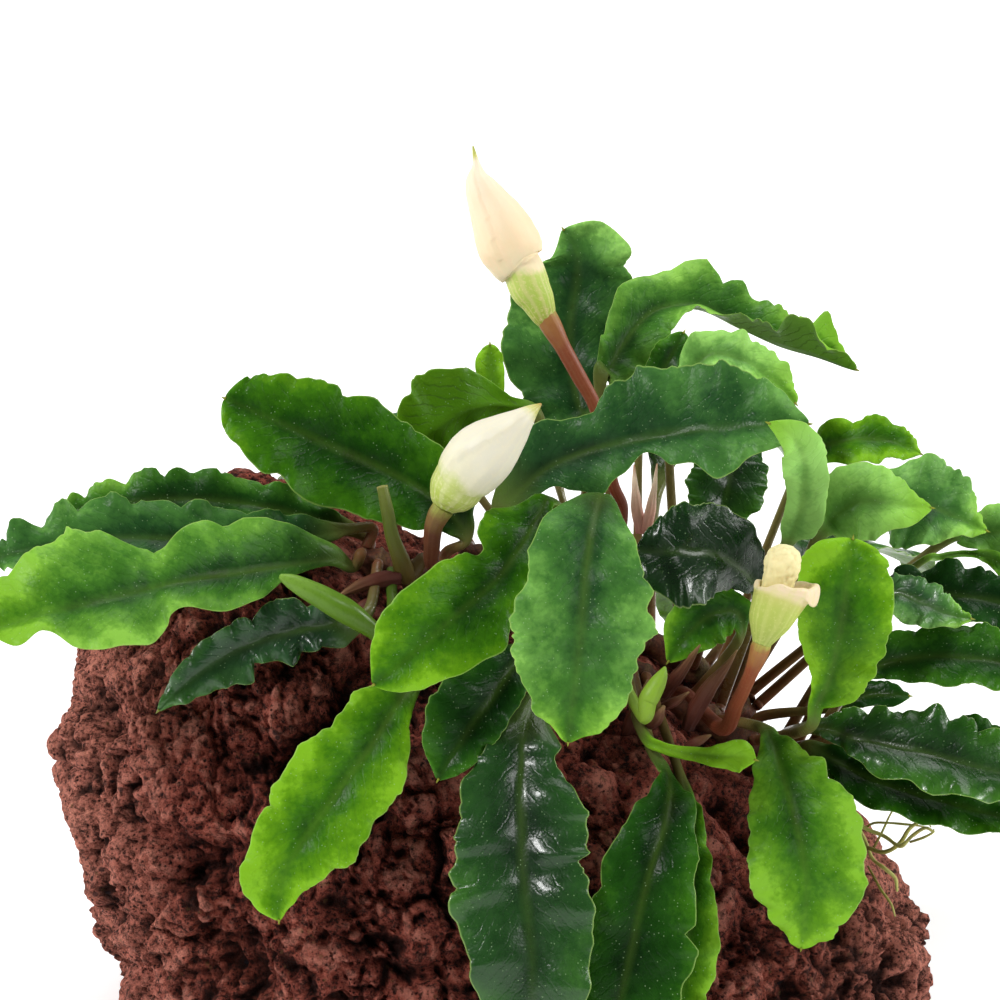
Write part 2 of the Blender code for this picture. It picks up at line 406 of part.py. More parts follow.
def round_masses(points, size, seed):
    """Split space into masses: distance to the nearest middle, gap to the next, its number."""
    scaled = points / size
    low = np.floor(scaled).astype(np.int64)
    nearest = np.full(len(points), 9.0)
    second = np.full(len(points), 9.0)
    chosen = np.zeros(len(points))
    for number in range(27):
        step = np.array([number % 3 - 1, (number // 3) % 3 - 1, number // 9 - 1])
        place = low + step
        x, y, z = place[:, 0], place[:, 1], place[:, 2]
        centre = place + 0.5 + 0.48 * np.stack(
            [lattice_value(x, y, z, seed + shift) for shift in (0, 1, 2)], axis=1)
        distance = np.linalg.norm(scaled - centre, axis=1)
        closer = distance < nearest
        second = np.where(closer, nearest, np.minimum(second, distance))
        chosen = np.where(closer, lattice_value(x, y, z, seed + 3), chosen)
        nearest = np.where(closer, distance, nearest)
    return nearest * size, (second - nearest) * size, chosen


def hollow_depth(points):
    """Give the depth of the long hollows from the distance to each hollow's line."""
    across, down, near = to_sight(points)
    seen = np.stack([across, down], axis=1)
    total = np.zeros(len(points))
    for line, width, depth in HOLLOWS:
        for start, end in zip(line[:-1], line[1:]):
            start = np.array(start, dtype=float)
            span = np.array(end, dtype=float) - start
            share = np.clip(((seen - start) @ span) / (span @ span), 0.0, 1.0)
            away = np.linalg.norm(seen - start - share[:, None] * span, axis=1)
            total = np.maximum(total, depth * np.exp(-(away / width) ** 2))
    return total * np.clip((near + 8.0) / 8.0, 0.0, 1.0)


def stem_distance(points):
    """Give the distance in plan from points to the nearest creeping stem."""
    nearest = np.full(len(points), 99.0)
    for line in RHIZOMES.values():
        for start, end in zip(line[:-1], line[1:]):
            start = np.array(start)
            span = np.array(end) - start
            share = np.clip(((points[:, :2] - start) @ span) / (span @ span), 0.0, 1.0)
            away = np.linalg.norm(points[:, :2] - start - share[:, None] * span, axis=1)
            nearest = np.minimum(nearest, away)
    return nearest


def stone_relief(points):
    """Give how far the stone's rounded masses stand out and its hollows sink in, in millimetres."""
    warped = points + 2.2 * np.stack([smooth_noise(points, 7.0, seed) for seed in (1, 2, 3)], axis=1)
    middle, gap, number = round_masses(warped, STONE_MASS, 100)
    head = np.clip(1.0 - (middle / (0.62 * STONE_MASS)) ** 2, -0.6, 1.0) + 0.7 * number
    uneven = 0.8 + 0.4 * smooth_noise(points, 1.6 * STONE_MASS, 107)
    groove = np.exp(-(gap / (0.24 * STONE_MASS)) ** 2) * uneven
    relief = 1.3 * head - 2.6 * groove + 0.6 * smooth_noise(points, 17.0, 4) - hollow_depth(points) + 0.9
    relief = np.where(relief > 0.4, 0.4 + 0.8 * np.tanh((relief - 0.4) / 1.1), relief)
    bare = 0.35 + 0.65 * np.clip((stem_distance(points) - 4.0) / 5.0, 0.0, 1.0)
    height = points[:, 2]
    fade = np.clip(height / 5.0, 0.0, 1.0) * np.clip((STONE_HEIGHT - height) / 5.0, 0.0, 1.0)
    return relief * fade * bare


def stone_skin(heights, around):
    """Give the stone's surface as rings of points: its outline pushed in and out by the relief."""
    grid_z, grid_a = np.meshgrid(heights, around, indexing="ij")
    middle_x, middle_y, reach = stone_reach(grid_a, grid_z)
    base = np.stack([middle_x + np.cos(grid_a) * reach, middle_y + np.sin(grid_a) * reach, grid_z], axis=2)
    round_step = np.roll(base, -1, axis=1) - np.roll(base, 1, axis=1)
    up_step = np.gradient(base, axis=0)
    outward = unit(np.cross(round_step, up_step))
    relief = stone_relief(base.reshape(-1, 3)).reshape(grid_z.shape)
    moved = base + outward * relief[:, :, None]
    moved[:, :, 2] = np.clip(moved[:, :, 2], 0.0, STONE_HEIGHT)
    return moved


def make_material(name):
    """Give a piece its own material: colour and roughness by what it is."""
    if name in YOUNG:
        old, roughness = COLOURS["leaf_old"]
        new, roughness = COLOURS["leaf_young"]
        colour = [low + (high - low) * YOUNG[name] for low, high in zip(old, new)]
    elif name.startswith(("rhizome", "root")):
        colour, roughness = COLOURS["rhizome"]
    elif name.startswith("stalk"):
        colour, roughness = COLOURS["flower_stalk"]
    else:
        colour, roughness = COLOURS[name.split("_")[0]]
    material = bpy.data.materials.new(name)
    material.use_nodes = True
    surface = material.node_tree.nodes["Principled BSDF"]
    surface.inputs["Base Color"].default_value = (*colour, 1.0)
    surface.inputs["Roughness"].default_value = roughness
    surface.inputs["Metallic"].default_value = 0.0
    return material


def place(name, data):
    """Make an object of a mesh or curve, with its own material, in the plant's collection."""
    data.materials.append(make_material(name))
    piece = bpy.data.objects.new(name, data)
    plant.objects.link(piece)
    return piece


def make_solid(name, points, faces):
    """Build one closed solid from points in millimetres."""
    mesh = bpy.data.meshes.new(name)
    mesh.from_pydata([tuple(point) for point in np.asarray(points) * MM], [], faces)
    mesh.shade_smooth()
    return place(name, mesh)


def close_rings(rings, foot, tip):
    """Join rings of points into a closed skin with a point at each end."""
    count = len(rings)
    sides = len(rings[0])
    points = [foot]
    for ring in rings:
        points.extend(ring)
    points.append(tip)
    faces = []
    last = len(points) - 1
    for side in range(sides):
        other = (side + 1) % sides
        faces.append((0, 1 + other, 1 + side))
        faces.append((last, last - sides + side, last - sides + other))
    for level in range(count - 1):
        low = 1 + level * sides
        high = low + sides
        for side in range(sides):
            other = (side + 1) % sides
            if side < sides // 2:
                faces.append((low + side, low + other, high + other))
                faces.append((low + side, high + other, high + side))
            else:
                faces.append((low + side, low + other, high + side))
                faces.append((low + other, high + other, high + side))
    return points, faces


def make_stone():
    """Build the stone: level rings from the flat underside to the crest."""
    heights = np.concatenate([[0.0, 2.0], np.linspace(4.5, 82.8, STONE_RISE - 2)])
    around = np.linspace(0.0, 2.0 * np.pi, STONE_AROUND, endpoint=False)
    rings = stone_skin(heights, around)
    points, faces = close_rings(rings.tolist(), (0.0, 0.0, 0.0), (-40.5, 10.0, STONE_HEIGHT))
    return make_solid("stone", points, faces)


def make_round(name, path, radii, sides):
    """Build a round tapering piece: a curve through points in millimetres, bevelled and capped."""
    curve = bpy.data.curves.new(name, "CURVE")
    curve.dimensions = "3D"
    curve.bevel_depth = MM
    curve.bevel_resolution = (sides - 4) // 2
    curve.use_fill_caps = True
    spline = curve.splines.new("POLY")
    spline.points.add(len(path) - 1)
    for number, point in enumerate(spline.points):
        point.co = (*(path[number] * MM), 1.0)
        point.radius = radii[number]
    return place(name, curve)


def rhizome_path(name):
    """Lay a creeping stem on the stone."""
    plan = np.array(RHIZOMES[name])
    heights = np.array([stone_top(x, y) for x, y in plan])
    lifted = np.column_stack([plan, heights + 1.45 * RHIZOME_RADIUS + CLEARANCE])
    return through_points(lifted, np.linspace(0.0, len(plan) - 1.0, 3 * len(plan) - 2))


def make_rhizome(name):
    """Build a creeping stem with swollen rings where old leaves have gone."""
    path = rhizome_path(name)
    number = np.arange(len(path))
    radii = RHIZOME_RADIUS * np.where(number % 2 == 0, 1.0, 0.88)
    radii[0] = RHIZOME_RADIUS * 0.6
    radii[-1] = RHIZOME_RADIUS * 0.6
    return make_round(name, path, radii, 8)


def stem_start(stem):
    """Find where a stalk stands on its creeping stem and which way it sets out."""
    name, share, angle = stem
    path = rhizome_path(name)
    place = through_points(path, np.array([share * (len(path) - 1.0)]))[0]
    ahead = through_points(path, np.array([min(share + 0.02, 1.0) * (len(path) - 1.0)]))[0]
    behind = through_points(path, np.array([max(share - 0.02, 0.0) * (len(path) - 1.0)]))[0]
    along = unit(ahead - behind)
    out = unit(SKYWARD - along * np.dot(SKYWARD, along))
    back = np.cross(out, along)
    if back[1] < 0.0:
        back = -back
    tilt = np.radians(angle)
    direction = out * np.cos(tilt) + back * np.sin(tilt)
    return place + direction * (RHIZOME_RADIUS + CLEARANCE), direction


def leaf_rings(leaf, far):
    """Work out the rings of points of one leaf, from the foot of its stalk to its tip."""
    start, direction = stem_start(leaf["stem"])
    rows = leaf["rows"]
    if far:
        placed = [np.array(row[:3], dtype=float) for row in rows]
        wide = [(row[3], row[4]) for row in rows]
    else:
        placed = [from_sight(row[0], row[1], row[2]) for row in rows]
        wide = [(row[3] * SIGHT_STEP, row[4] * SIGHT_STEP) for row in rows]
    points = np.array([start, start + direction * 3.0] + placed)
    widths = np.array([(PETIOLE_RADIUS, PETIOLE_RADIUS)] * 2 + wide)
    last = len(points) - 1.0
    stations = np.concatenate([[0.0, 1.0], [2.0], 2.0 + (last - 2.0) * BLADE_STATIONS])
    path = through_points(points, stations)
    halves = np.maximum(through_points(widths, stations), 0.12)
    blade = np.clip((stations - 2.0) / (last - 2.0), 0.0, 1.0)
    ahead = through_points(points, np.minimum(stations + 0.05, last))
    behind = through_points(points, np.maximum(stations - 0.05, 0.0))
    along = unit(ahead - behind)
    face = SKYWARD if (far or leaf.get("facing") == "sky") else NEARWARD
    left = unit(np.cross(face, along))
    for number in range(FACING_RING - 1, -1, -1):
        kept = left[number + 1] - along[number] * np.dot(left[number + 1], along[number])
        left[number] = unit(kept)
    out = np.cross(along, left)
    roll_marks = np.array(leaf.get("roll", (0.0, 0.0)), dtype=float)
    fold_marks = np.array(leaf.get("fold", (8.0, 8.0)), dtype=float)
    roll = np.radians(np.interp(blade, np.linspace(0.0, 1.0, len(roll_marks)), roll_marks))[:, None]
    fold = np.radians(np.interp(blade, np.linspace(0.0, 1.0, len(fold_marks)), fold_marks))
    fold = (fold * np.clip(blade / 0.15, 0.0, 1.0))[:, None]
    if not far and leaf.get("facing") != "sky":
        halves = halves * np.where(blade > 0.0, 1.0 / np.cos(roll[:, 0]), 1.0)[:, None]
    turned_left = left * np.cos(roll) + out * np.sin(roll)
    turned_out = out * np.cos(roll) - left * np.sin(roll)
    closing = np.sqrt(np.clip(1.0 - blade ** 12, 0.0, 1.0))
    flat = np.clip(blade / 0.2, 0.0, 1.0) ** 0.7
    swing = 2.0 * np.pi * leaf["waves"] * blade + leaf["phase"]
    fade = np.clip(blade / 0.2, 0.0, 1.0) * np.clip((1.0 - blade) / 0.1, 0.0, 1.0)
    rings = []
    for number in range(len(BLADE_ACROSS)):
        across = STALK_ACROSS[number] * (1.0 - flat) + BLADE_ACROSS[number] * flat
        side = 0 if BLADE_ACROSS[number] > 0.0 else 1
        reach = halves[:, side] * closing * (1.0 + 0.05 * fade * np.sin(swing * 1.7 + side))
        wave = leaf["height"] * fade * np.sin(swing + 1.9 * side) * np.abs(across) ** 1.6
        half = STALK_THROUGH[number] * PETIOLE_RADIUS * (1.0 - flat)
        half = half + BLADE_THROUGH[number] * LEAF_HALF_THICKNESS * flat
        aside = (across * reach)[:, None]
        lift = (np.abs(across) * reach)[:, None]
        point = path + turned_left * aside * np.cos(fold) + turned_out * lift * np.sin(fold)
        point = point + turned_out * (wave + half)[:, None]
        rings.append(point)
    rings = np.stack(rings, axis=1)
    tip = through_points(points, np.array([last]))[0]
    return rings, start, tip


def make_leaf(name, leaf, far):
    """Build one leaf, stalk and blade in one piece."""
    rings, start, tip = leaf_rings(leaf, far)
    points, faces = close_rings([[tuple(point) for point in ring] for ring in rings],
                                tuple(start), tuple(tip))
    return make_solid(name, points, faces)


def make_round_part(name, part):
    """Build a bud, stalk or root from its table."""
    rows = part["rows"]
    path = [from_sight(row[0], row[1], row[2]) for row in rows]
    radii = [row[3] * SIGHT_STEP for row in rows]
    if "stem" in part:
        start, direction = stem_start(part["stem"])
        path = [start, start + direction * 3.0] + path
        first = part.get("start", PETIOLE_RADIUS)
        radii = [first, first] + radii
    return make_round(name, np.array(path), np.array(radii), part["sides"])


def make_open_spathe():
    """Build the open spathe, a thick-walled cup: a profile turned about its slanting axis."""
    foot = from_sight(*CUP_FOOT)
    mouth = from_sight(*CUP_MOUTH)
    length = np.linalg.norm(mouth - foot)
    profile = [(radius * SIGHT_STEP * MM, 0.0, share * length * MM) for share, radius in CUP_PROFILE]
    edges = [(number, number + 1) for number in range(len(profile) - 1)]
    mesh = bpy.data.meshes.new("spathe_open")
    mesh.from_pydata(profile, edges, [])
    spathe = place("spathe_open", mesh)
    spathe.location = Vector(foot * MM)
    spathe.rotation_euler = Vector(mouth - foot).to_track_quat("Z", "Y").to_euler()
    turn = spathe.modifiers.new("Turn", "SCREW")
    turn.axis = "Z"
    turn.angle = 2.0 * np.pi
    turn.steps = CUP_SIDES
    turn.render_steps = CUP_SIDES
    turn.use_merge_vertices = True
    turn.merge_threshold = 0.00001
    turn.use_smooth_shade = True
    return spathe


for old in list(bpy.data.objects):
    bpy.data.objects.remove(old, do_unlink=True)

plant = bpy.data.collections.new("Bucephalandra on stone")
bpy.context.scene.collection.children.link(plant)

make_stone()
for rhizome_name in RHIZOMES:
    make_rhizome(rhizome_name)
for leaf_name, leaf_table in LEAVES.items():
    make_leaf(leaf_name, leaf_table, False)
for leaf_name, leaf_table in FAR_LEAVES.items():
    make_leaf(leaf_name, leaf_table, True)
for round_name, round_table in ROUND_PARTS.items():
    make_round_part(round_name, round_table)
make_open_spathe()
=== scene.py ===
"""Looks of the bucephalandra on stone: leaves, flowers, creeping stems, roots and lava rock.

Every length in the tables is in millimetres, or in steps of 0.15 mm read as seen from
the front. The finished meshes are in metres in the frame of the solids.
"""

import bpy
import numpy as np
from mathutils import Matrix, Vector


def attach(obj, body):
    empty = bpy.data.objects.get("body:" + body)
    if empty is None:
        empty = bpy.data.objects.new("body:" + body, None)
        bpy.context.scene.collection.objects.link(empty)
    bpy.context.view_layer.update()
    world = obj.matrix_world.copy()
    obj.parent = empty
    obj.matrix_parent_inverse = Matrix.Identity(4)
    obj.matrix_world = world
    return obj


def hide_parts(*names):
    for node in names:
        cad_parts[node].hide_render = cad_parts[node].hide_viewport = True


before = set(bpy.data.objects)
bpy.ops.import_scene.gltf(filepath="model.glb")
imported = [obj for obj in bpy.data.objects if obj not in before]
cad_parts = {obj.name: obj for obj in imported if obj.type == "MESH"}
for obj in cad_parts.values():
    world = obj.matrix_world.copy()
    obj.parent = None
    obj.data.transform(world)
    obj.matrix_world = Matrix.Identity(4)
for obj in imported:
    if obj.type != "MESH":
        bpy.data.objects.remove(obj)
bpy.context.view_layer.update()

MM = 0.001
LEAF_HALF_THICKNESS = 0.27
PETIOLE_RADIUS = 0.85
RHIZOME_RADIUS = 2.3
CLEARANCE = 0.30
STONE_HEIGHT = 84.0

# The front view that the tables are read in
SIGHT_STEP = 0.15
SIGHT_MIDDLE = 500.0
SIGHT_DISTANCE = 500.0
SIGHT_ANGLE = np.radians(20.0)
SIGHT_HEIGHT = 84.0
RIGHTWARD = np.array([1.0, 0.0, 0.0])
UPWARD = np.array([0.0, np.sin(SIGHT_ANGLE), np.cos(SIGHT_ANGLE)])
NEARWARD = np.array([0.0, -np.cos(SIGHT_ANGLE), np.sin(SIGHT_ANGLE)])
SKYWARD = np.array([0.0, 0.0, 1.0])
SIGHT_CENTRE = SKYWARD * SIGHT_HEIGHT

# Stone outline: reach to the left, right, front and back at each height
STONE_LEVELS = np.array([0.0, 4.0, 9.0, 16.0, 24.0, 35.0, 47.0, 57.0, 66.0, 74.0, 79.0, 82.5, 84.0])
STONE_LEFT = np.array([-56.0, -58.0, -60.0, -61.5, -62.5, -65.0, -66.0, -64.0, -58.0, -51.0, -47.0,
                       -43.5, -41.0])
STONE_RIGHT = np.array([56.0, 64.5, 68.0, 64.0, 57.0, 45.0, 30.0, 15.0, -3.0, -20.0, -31.0, -37.5, -40.0])
STONE_FRONT = np.array([-40.0, -43.0, -44.0, -44.0, -43.0, -39.0, -33.0, -27.0, -20.0, -12.0, -5.0,
                        4.0, 8.0])
STONE_BACK = np.array([40.0, 43.0, 44.0, 44.0, 44.0, 43.0, 41.0, 38.0, 34.0, 29.0, 24.0, 18.0, 12.0])
STONE_SQUARENESS = 2.6
# Round heads on the stone: radius as a share of their distance, and their lowest side
HEAD_RADIUS = 0.62
HEAD_FLOOR = -0.6
# Push (mm) over which a head is rounded off, how far it can still rise and how softly
CREST_START = 0.4
CREST_RISE = 0.8
CREST_SOFTNESS = 1.1
# Share of the relief that is kept beside the creeping stems
RELIEF_AT_STEMS = 0.35

# Long hollows in the stone seen from the front: points across and down, width, depth (mm)
HOLLOWS = [
    ([(352, 690), (318, 722), (285, 762)], 24.0, 3.4),
    ([(180, 872), (225, 850), (292, 838)], 20.0, 2.8),
    ([(244, 930), (252, 965), (250, 1010)], 18.0, 2.6),
    ([(432, 842), (430, 868), (440, 900)], 18.0, 2.6),
    ([(728, 800), (742, 816), (758, 832)], 22.0, 2.8),
    ([(96, 700), (120, 742), (112, 792)], 18.0, 2.0),
    ([(330, 900), (372, 930), (402, 985)], 18.0, 2.2),
    ([(870, 905), (885, 950), (880, 1010)], 18.0, 2.0),
]
# Distance (mm) between the stone's large masses
STONE_MASS = 15.0

# Creeping stems: points in plan (x, y), laid on the stone
RHIZOMES = {
    "left": [(-22.0, -5.0), (-14.0, -5.0), (-5.0, -4.0), (4.0, -3.0)],
    "front": [(9.0, 0.0), (18.0, -1.0), (28.0, -2.0), (38.0, 1.0), (46.0, 4.0)],
    "back": [(-6.0, 14.0), (6.0, 16.0), (18.0, 15.0), (30.0, 16.0), (40.0, 17.0)],
}

# Leaves. "stem" is where the stalk leaves its creeping stem: which one, the share of
# its length and the angle round it (-90 front, 0 top, 90 back). Each row is seen from
# the front: across, down, near (mm), half width on the left-hand side of growth, half
# width on the right-hand side. "waves", "height" (mm) and "phase" shape the margin.
# "roll" turns the blade about its middle line and "fold" folds its halves up, both in
# degrees from foot to tip. A blade faces the front, or the sky where that is said.
LEAVES = {
    "leaf_01": dict(stem=("left", 0.03, -60), waves=5, height=0.6, phase=0.3, roll=(0, 25, 30, 28), rows=[
        (352, 567, 6, 6, 6), (328, 560, 10, 6, 20), (285, 566, 15, 12, 42), (245, 572, 19, 30, 52),
        (212, 577, 22, 36, 50), (172, 584, 25, 26, 34), (150, 589, 26, 42, 40), (122, 596, 28, 54, 64),
        (91, 604, 30, 50, 68), (59, 611, 31, 34, 62), (38, 616, 32, 18, 52), (10, 624, 33, 28, 50),
        (-12, 629, 34, 20, 36)]),
    "leaf_02": dict(stem=("left", 0.06, 15), waves=7, height=1.3, phase=1.3, roll=(0, 25, 30, 28), rows=[
        (345, 530, 4, 6, 7), (300, 539, 7, 15, 24), (240, 542, 10, 24, 31), (170, 539, 12, 30, 34),
        (110, 539, 14, 32, 38), (55, 546, 15, 27, 31), (12, 555, 15, 20, 24), (-8, 560, 15, 10, 12)]),
    "leaf_03": dict(stem=("left", 0.08, 75), waves=6, height=1.3, phase=2.0, roll=(0, 25, 25, 25), rows=[
        (352, 530, 0, 7, 8), (300, 515, 2, 17, 18), (230, 502, 3, 24, 26), (160, 500, 4, 26, 27),
        (100, 506, 4, 22, 21), (58, 513, 4, 10, 9)]),
    "leaf_04": dict(stem=("left", 0.15, -75), waves=6, height=1.3, phase=0.0, rows=[
        (368, 612, 12, 6, 6), (338, 623, 15, 24, 12), (318, 627, 16, 20, 20), (300, 630, 16.7, 22, 30),
        (283, 634, 17.2, 32, 36), (266, 639, 17.6, 22, 26), (250, 645, 18, 20, 26),
        (236, 651, 18, 34, 26), (212, 664, 18, 27, 24), (190, 681, 18, 20, 17), (172, 696, 18, 13, 13),
        (158, 711, 18, 6, 6)]),
    "leaf_05": dict(stem=("left", 0.50, 20), waves=5, height=0.8, phase=0.7, roll=(0, 12, 15, 15), rows=[
        (466, 540, 0, 6, 6), (450, 513, 2, 24, 30), (410, 483, 4, 46, 46), (350, 455, 6, 58, 56),
        (290, 428, 8, 52, 50), (248, 409, 9, 40, 40), (224, 398, 9, 26, 26)]),
    "leaf_06": dict(stem=("back", 0.15, 10), waves=4, height=0.7, phase=0.2, roll=(0, -20, -20), rows=[
        (540, 424, -9, 6, 6), (505, 405, -8, 14, 12), (470, 408, -6, 30, 42), (440, 424, -5, 34, 46),
        (420, 440, -5, 24, 34), (410, 450, -5, 14, 18)]),
    "leaf_07": dict(stem=("back", 0.10, 40), waves=2, height=0.4, phase=0.2, rows=[
        (500, 430, -15, 5, 5), (495, 395, -15, 14, 10), (491, 362, -15, 16, 13), (490, 344, -15, 8, 9)]),
    "leaf_08": dict(stem=("back", 0.33, 60), waves=5, height=0.8, phase=1.0, rows=[
        (590, 440, -20, 6, 6), (580, 408, -22, 44, 24), (572, 370, -24, 66, 45), (570, 325, -25, 68, 62),
        (577, 280, -25, 60, 57), (576, 250, -24, 38, 52), (563, 229, -23, 11, 30)]),
    "leaf_09": dict(stem=("back", 0.48, 40), waves=6, height=1.2, phase=0.5, facing="sky",
                    roll=(40, 38, 30, 15, 5, 0), fold=(5, 8, 20, 45, 60, 60), rows=[
        (600, 392, -14, 6, 6), (610, 370, -16, 16, 24), (622, 346, -18, 24, 36), (653, 312, -21, 42, 38),
        (697, 307, -22, 44, 32), (740, 326, -21, 34, 40), (780, 344, -19, 34, 46),
        (820, 356, -17, 32, 40), (857, 370, -15, 14, 16)]),
    "leaf_10": dict(stem=("back", 0.52, -20), waves=3, height=0.5, phase=0.5, rows=[
        (640, 425, -12, 5, 5), (655, 388, -13, 16, 20), (670, 358, -13, 20, 24), (684, 332, -13, 10, 12)]),
    "leaf_11": dict(stem=("back", 0.66, 20), waves=5, height=0.8, phase=2.2, roll=(0, -25, -28), rows=[
        (668, 425, -4, 5, 5), (682, 385, -3, 12, 10), (708, 356, -2, 24, 22), (742, 360, -1, 24, 26),
        (772, 380, 0, 20, 24), (796, 404, 1, 11, 14)]),
    "leaf_12": dict(stem=("left", 0.93, 10), waves=6, height=0.6, phase=0.2, roll=(0, -12, -20, -18), rows=[
        (498, 522, 8, 7, 7), (520, 492, 11, 28, 14), (548, 468, 13, 42, 20), (575, 456, 14.8, 38, 40),
        (602, 447, 16.5, 38, 44), (622, 443, 18, 56, 30), (645, 439, 19.3, 65, 14),
        (668, 434, 20.5, 65, 29), (695, 431, 22, 60, 33), (718, 429, 23, 63, 49), (742, 427, 24, 53, 40),
        (765, 426, 25, 49, 28), (788, 425, 25, 34, 20), (810, 424, 25, 16, 12)]),
    "leaf_13": dict(stem=("back", 0.86, -50), waves=4, height=0.5, phase=0.9, rows=[
        (782, 556, 6, 5, 5), (793, 530, 12, 13, 20), (802, 504, 16.5, 16, 25), (804, 478, 20.5, 19, 22),
        (803, 460, 24, 22, 24), (797, 444, 28, 19, 22), (786, 432, 30.5, 13, 15), (768, 423, 31.5, 5, 6)]),
    "leaf_14": dict(stem=("back", 0.90, -10), waves=4, height=0.5, phase=0.1, roll=(0, -20, -25), rows=[
        (812, 547, 4, 5, 5), (832, 520, 6, 24, 26), (854, 504, 8, 38, 36), (882, 502, 10, 32, 40),
        (907, 506, 11, 18, 24), (932, 508, 11, 6, 8)]),
    "leaf_15": dict(stem=("back", 0.84, 50), waves=4, height=0.6, phase=0.4, roll=(0, -35, -35), rows=[
        (796, 476, -14, 5, 5), (822, 448, -12, 18, 18), (855, 440, -10, 22, 26), (885, 441, -9, 20, 26),
        (906, 447, -8, 14, 16), (921, 454, -8, 5, 5)]),
    "leaf_16": dict(stem=("back", 0.93, 30), waves=5, height=0.7, phase=1.1, roll=(0, -25, -28), rows=[
        (852, 522, -4, 5, 5), (882, 501, -2, 26, 32), (915, 502, 0, 44, 52), (945, 513, 1, 42, 40),
        (970, 524, 2, 18, 16), (987, 531, 2, 6, 7)]),
    "leaf_17": dict(stem=("back", 0.97, 32), waves=3, height=0.9, phase=0.4, roll=(0, -30, -35), rows=[
        (935, 548, -12, 5, 5), (968, 536, -11, 14, 14), (1004, 533, -10, 28, 28), (1035, 540, -9, 20, 20),
        (1054, 546, -9, 7, 7)]),
    "leaf_18": dict(stem=("back", 0.99, -5), waves=3, height=0.9, phase=0.8, roll=(0, -15, -25), rows=[
        (905, 574, -7, 4, 4), (943, 556, -6, 4, 4), (985, 556, -6, 5, 5), (1010, 572, -6, 14, 14),
        (1034, 592, -7, 16, 16), (1056, 610, -7, 7, 7)]),
    "leaf_19": dict(stem=("front", 0.97, 25), waves=5, height=1.1, phase=0.4, roll=(0, -30, -35), rows=[
        (864, 604, -1, 5, 5), (896, 590, 0, 18, 16), (940, 594, 1, 30, 26), (985, 600, 2, 28, 28),
        (1030, 608, 2, 20, 20), (1056, 612, 2, 7, 7)]),
    "leaf_20": dict(stem=("front", 0.90, 20), waves=5, height=0.6, phase=1.9, roll=(0, -20, -25), rows=[
        (868, 600, 6, 5, 5), (892, 592, 8, 18, 20), (924, 604, 10, 22, 26), (950, 615, 11, 14, 14),
        (972, 619, 11, 6, 6)]),
    "leaf_21": dict(stem=("front", 0.98, -10), waves=5, height=0.9, phase=0.0, roll=(0, -35, -38), rows=[
        (852, 684, 6, 6, 6), (885, 664, 9, 22, 16), (930, 657, 11, 28, 28), (980, 660, 13, 30, 28),
        (1024, 668, 14, 22, 24), (1058, 675, 14, 8, 8)]),
    "leaf_22": dict(stem=("front", 0.74, -60), waves=5, height=0.35, phase=0.6, rows=[
        (808, 728, 12, 6, 6), (817, 704, 15.6, 9, 9), (826, 687, 17, 15, 32), (832, 668, 18, 24, 38),
        (838, 640, 20, 38, 47), (844, 605, 22, 46, 47), (848, 570, 23, 48, 42), (851, 551, 23.2, 43, 35),
        (853, 538, 23, 27, 22)]),
    "leaf_23": dict(stem=("front", 0.62, 30), waves=5, height=0.5, phase=2.6, roll=(0, 15, 20), rows=[
        (756, 604, 2, 5, 5), (748, 577, 7, 16, 26), (718, 556, 13, 38, 46), (682, 552, 16, 56, 44),
        (655, 552, 17, 44, 30), (636, 550, 17, 22, 16)]),
    "leaf_24": dict(stem=("front", 0.50, -20), waves=4, height=0.5, phase=0.3, rows=[
        (738, 640, 0, 5, 5), (738, 614, 3, 18, 16), (714, 614, 5, 28, 32), (690, 632, 6, 26, 30),
        (668, 662, 7, 9, 9)]),
    "leaf_25": dict(stem=("back", 0.72, -40), waves=4, height=0.4, phase=0.9, rows=[
        (748, 440, -4, 5, 5), (735, 454, 2, 30, 32), (729, 480, 5, 38, 40), (724, 505, 6, 34, 38),
        (720, 528, 6, 14, 14)]),
    "leaf_26": dict(stem=("front", 0.04, -10), waves=6, height=0.4, phase=0.4, rows=[
        (608, 520, 20, 6, 6), (601, 497, 27, 12, 12), (592, 530, 35, 37, 46), (588, 556, 37.5, 49, 53),
        (585, 580, 39, 58, 55), (583, 604, 39.7, 64, 61), (581, 627, 40, 68, 64), (580, 643, 40, 57, 64),
        (578, 662, 40, 56, 61), (576, 680, 40, 50, 53), (573, 700, 39.5, 48, 43), (571, 718, 39, 40, 33),
        (569, 732, 38.5, 25, 17), (568, 743, 38, 9, 8)]),
    "leaf_27": dict(stem=("left", 0.78, -40), waves=5, height=0.4, phase=1.2, rows=[
        (556, 518, 12, 6, 6), (548, 500, 18, 8, 8), (538, 518, 21, 14, 24), (527, 536, 23.5, 18, 42),
        (514, 556, 26, 24, 44), (504, 570, 27.5, 28, 28), (488, 588, 29.5, 38, 40),
        (461, 611, 32, 52, 50), (421, 647, 34, 42, 52), (391, 672, 35, 28, 36), (373, 685, 35, 12, 14)]),
    "leaf_28": dict(stem=("left", 0.90, -70), waves=4, height=0.7, phase=0.2, rows=[
        (530, 642, 16, 6, 6), (512, 668, 20, 20, 30), (492, 698, 22.5, 26, 44), (470, 728, 24.5, 26, 48),
        (452, 756, 25.5, 22, 34), (438, 780, 26, 8, 10)]),
    "leaf_29": dict(stem=("left", 0.44, -80), waves=6, height=0.45, phase=0.0, rows=[
        (420, 668, 18, 6, 6), (402, 698, 24, 14, 26), (390, 716, 25, 22, 40), (372, 745, 26.5, 40, 42),
        (355, 768, 27.5, 50, 50), (332, 800, 28.5, 44, 55), (312, 828, 29.3, 52, 50),
        (296, 852, 30, 38, 45), (283, 880, 30, 27, 42), (279, 903, 30, 15, 34), (279, 921, 30, 6, 12)]),
    "leaf_30": dict(stem=("front", 0.02, -70), waves=6, height=0.5, phase=0.7, rows=[
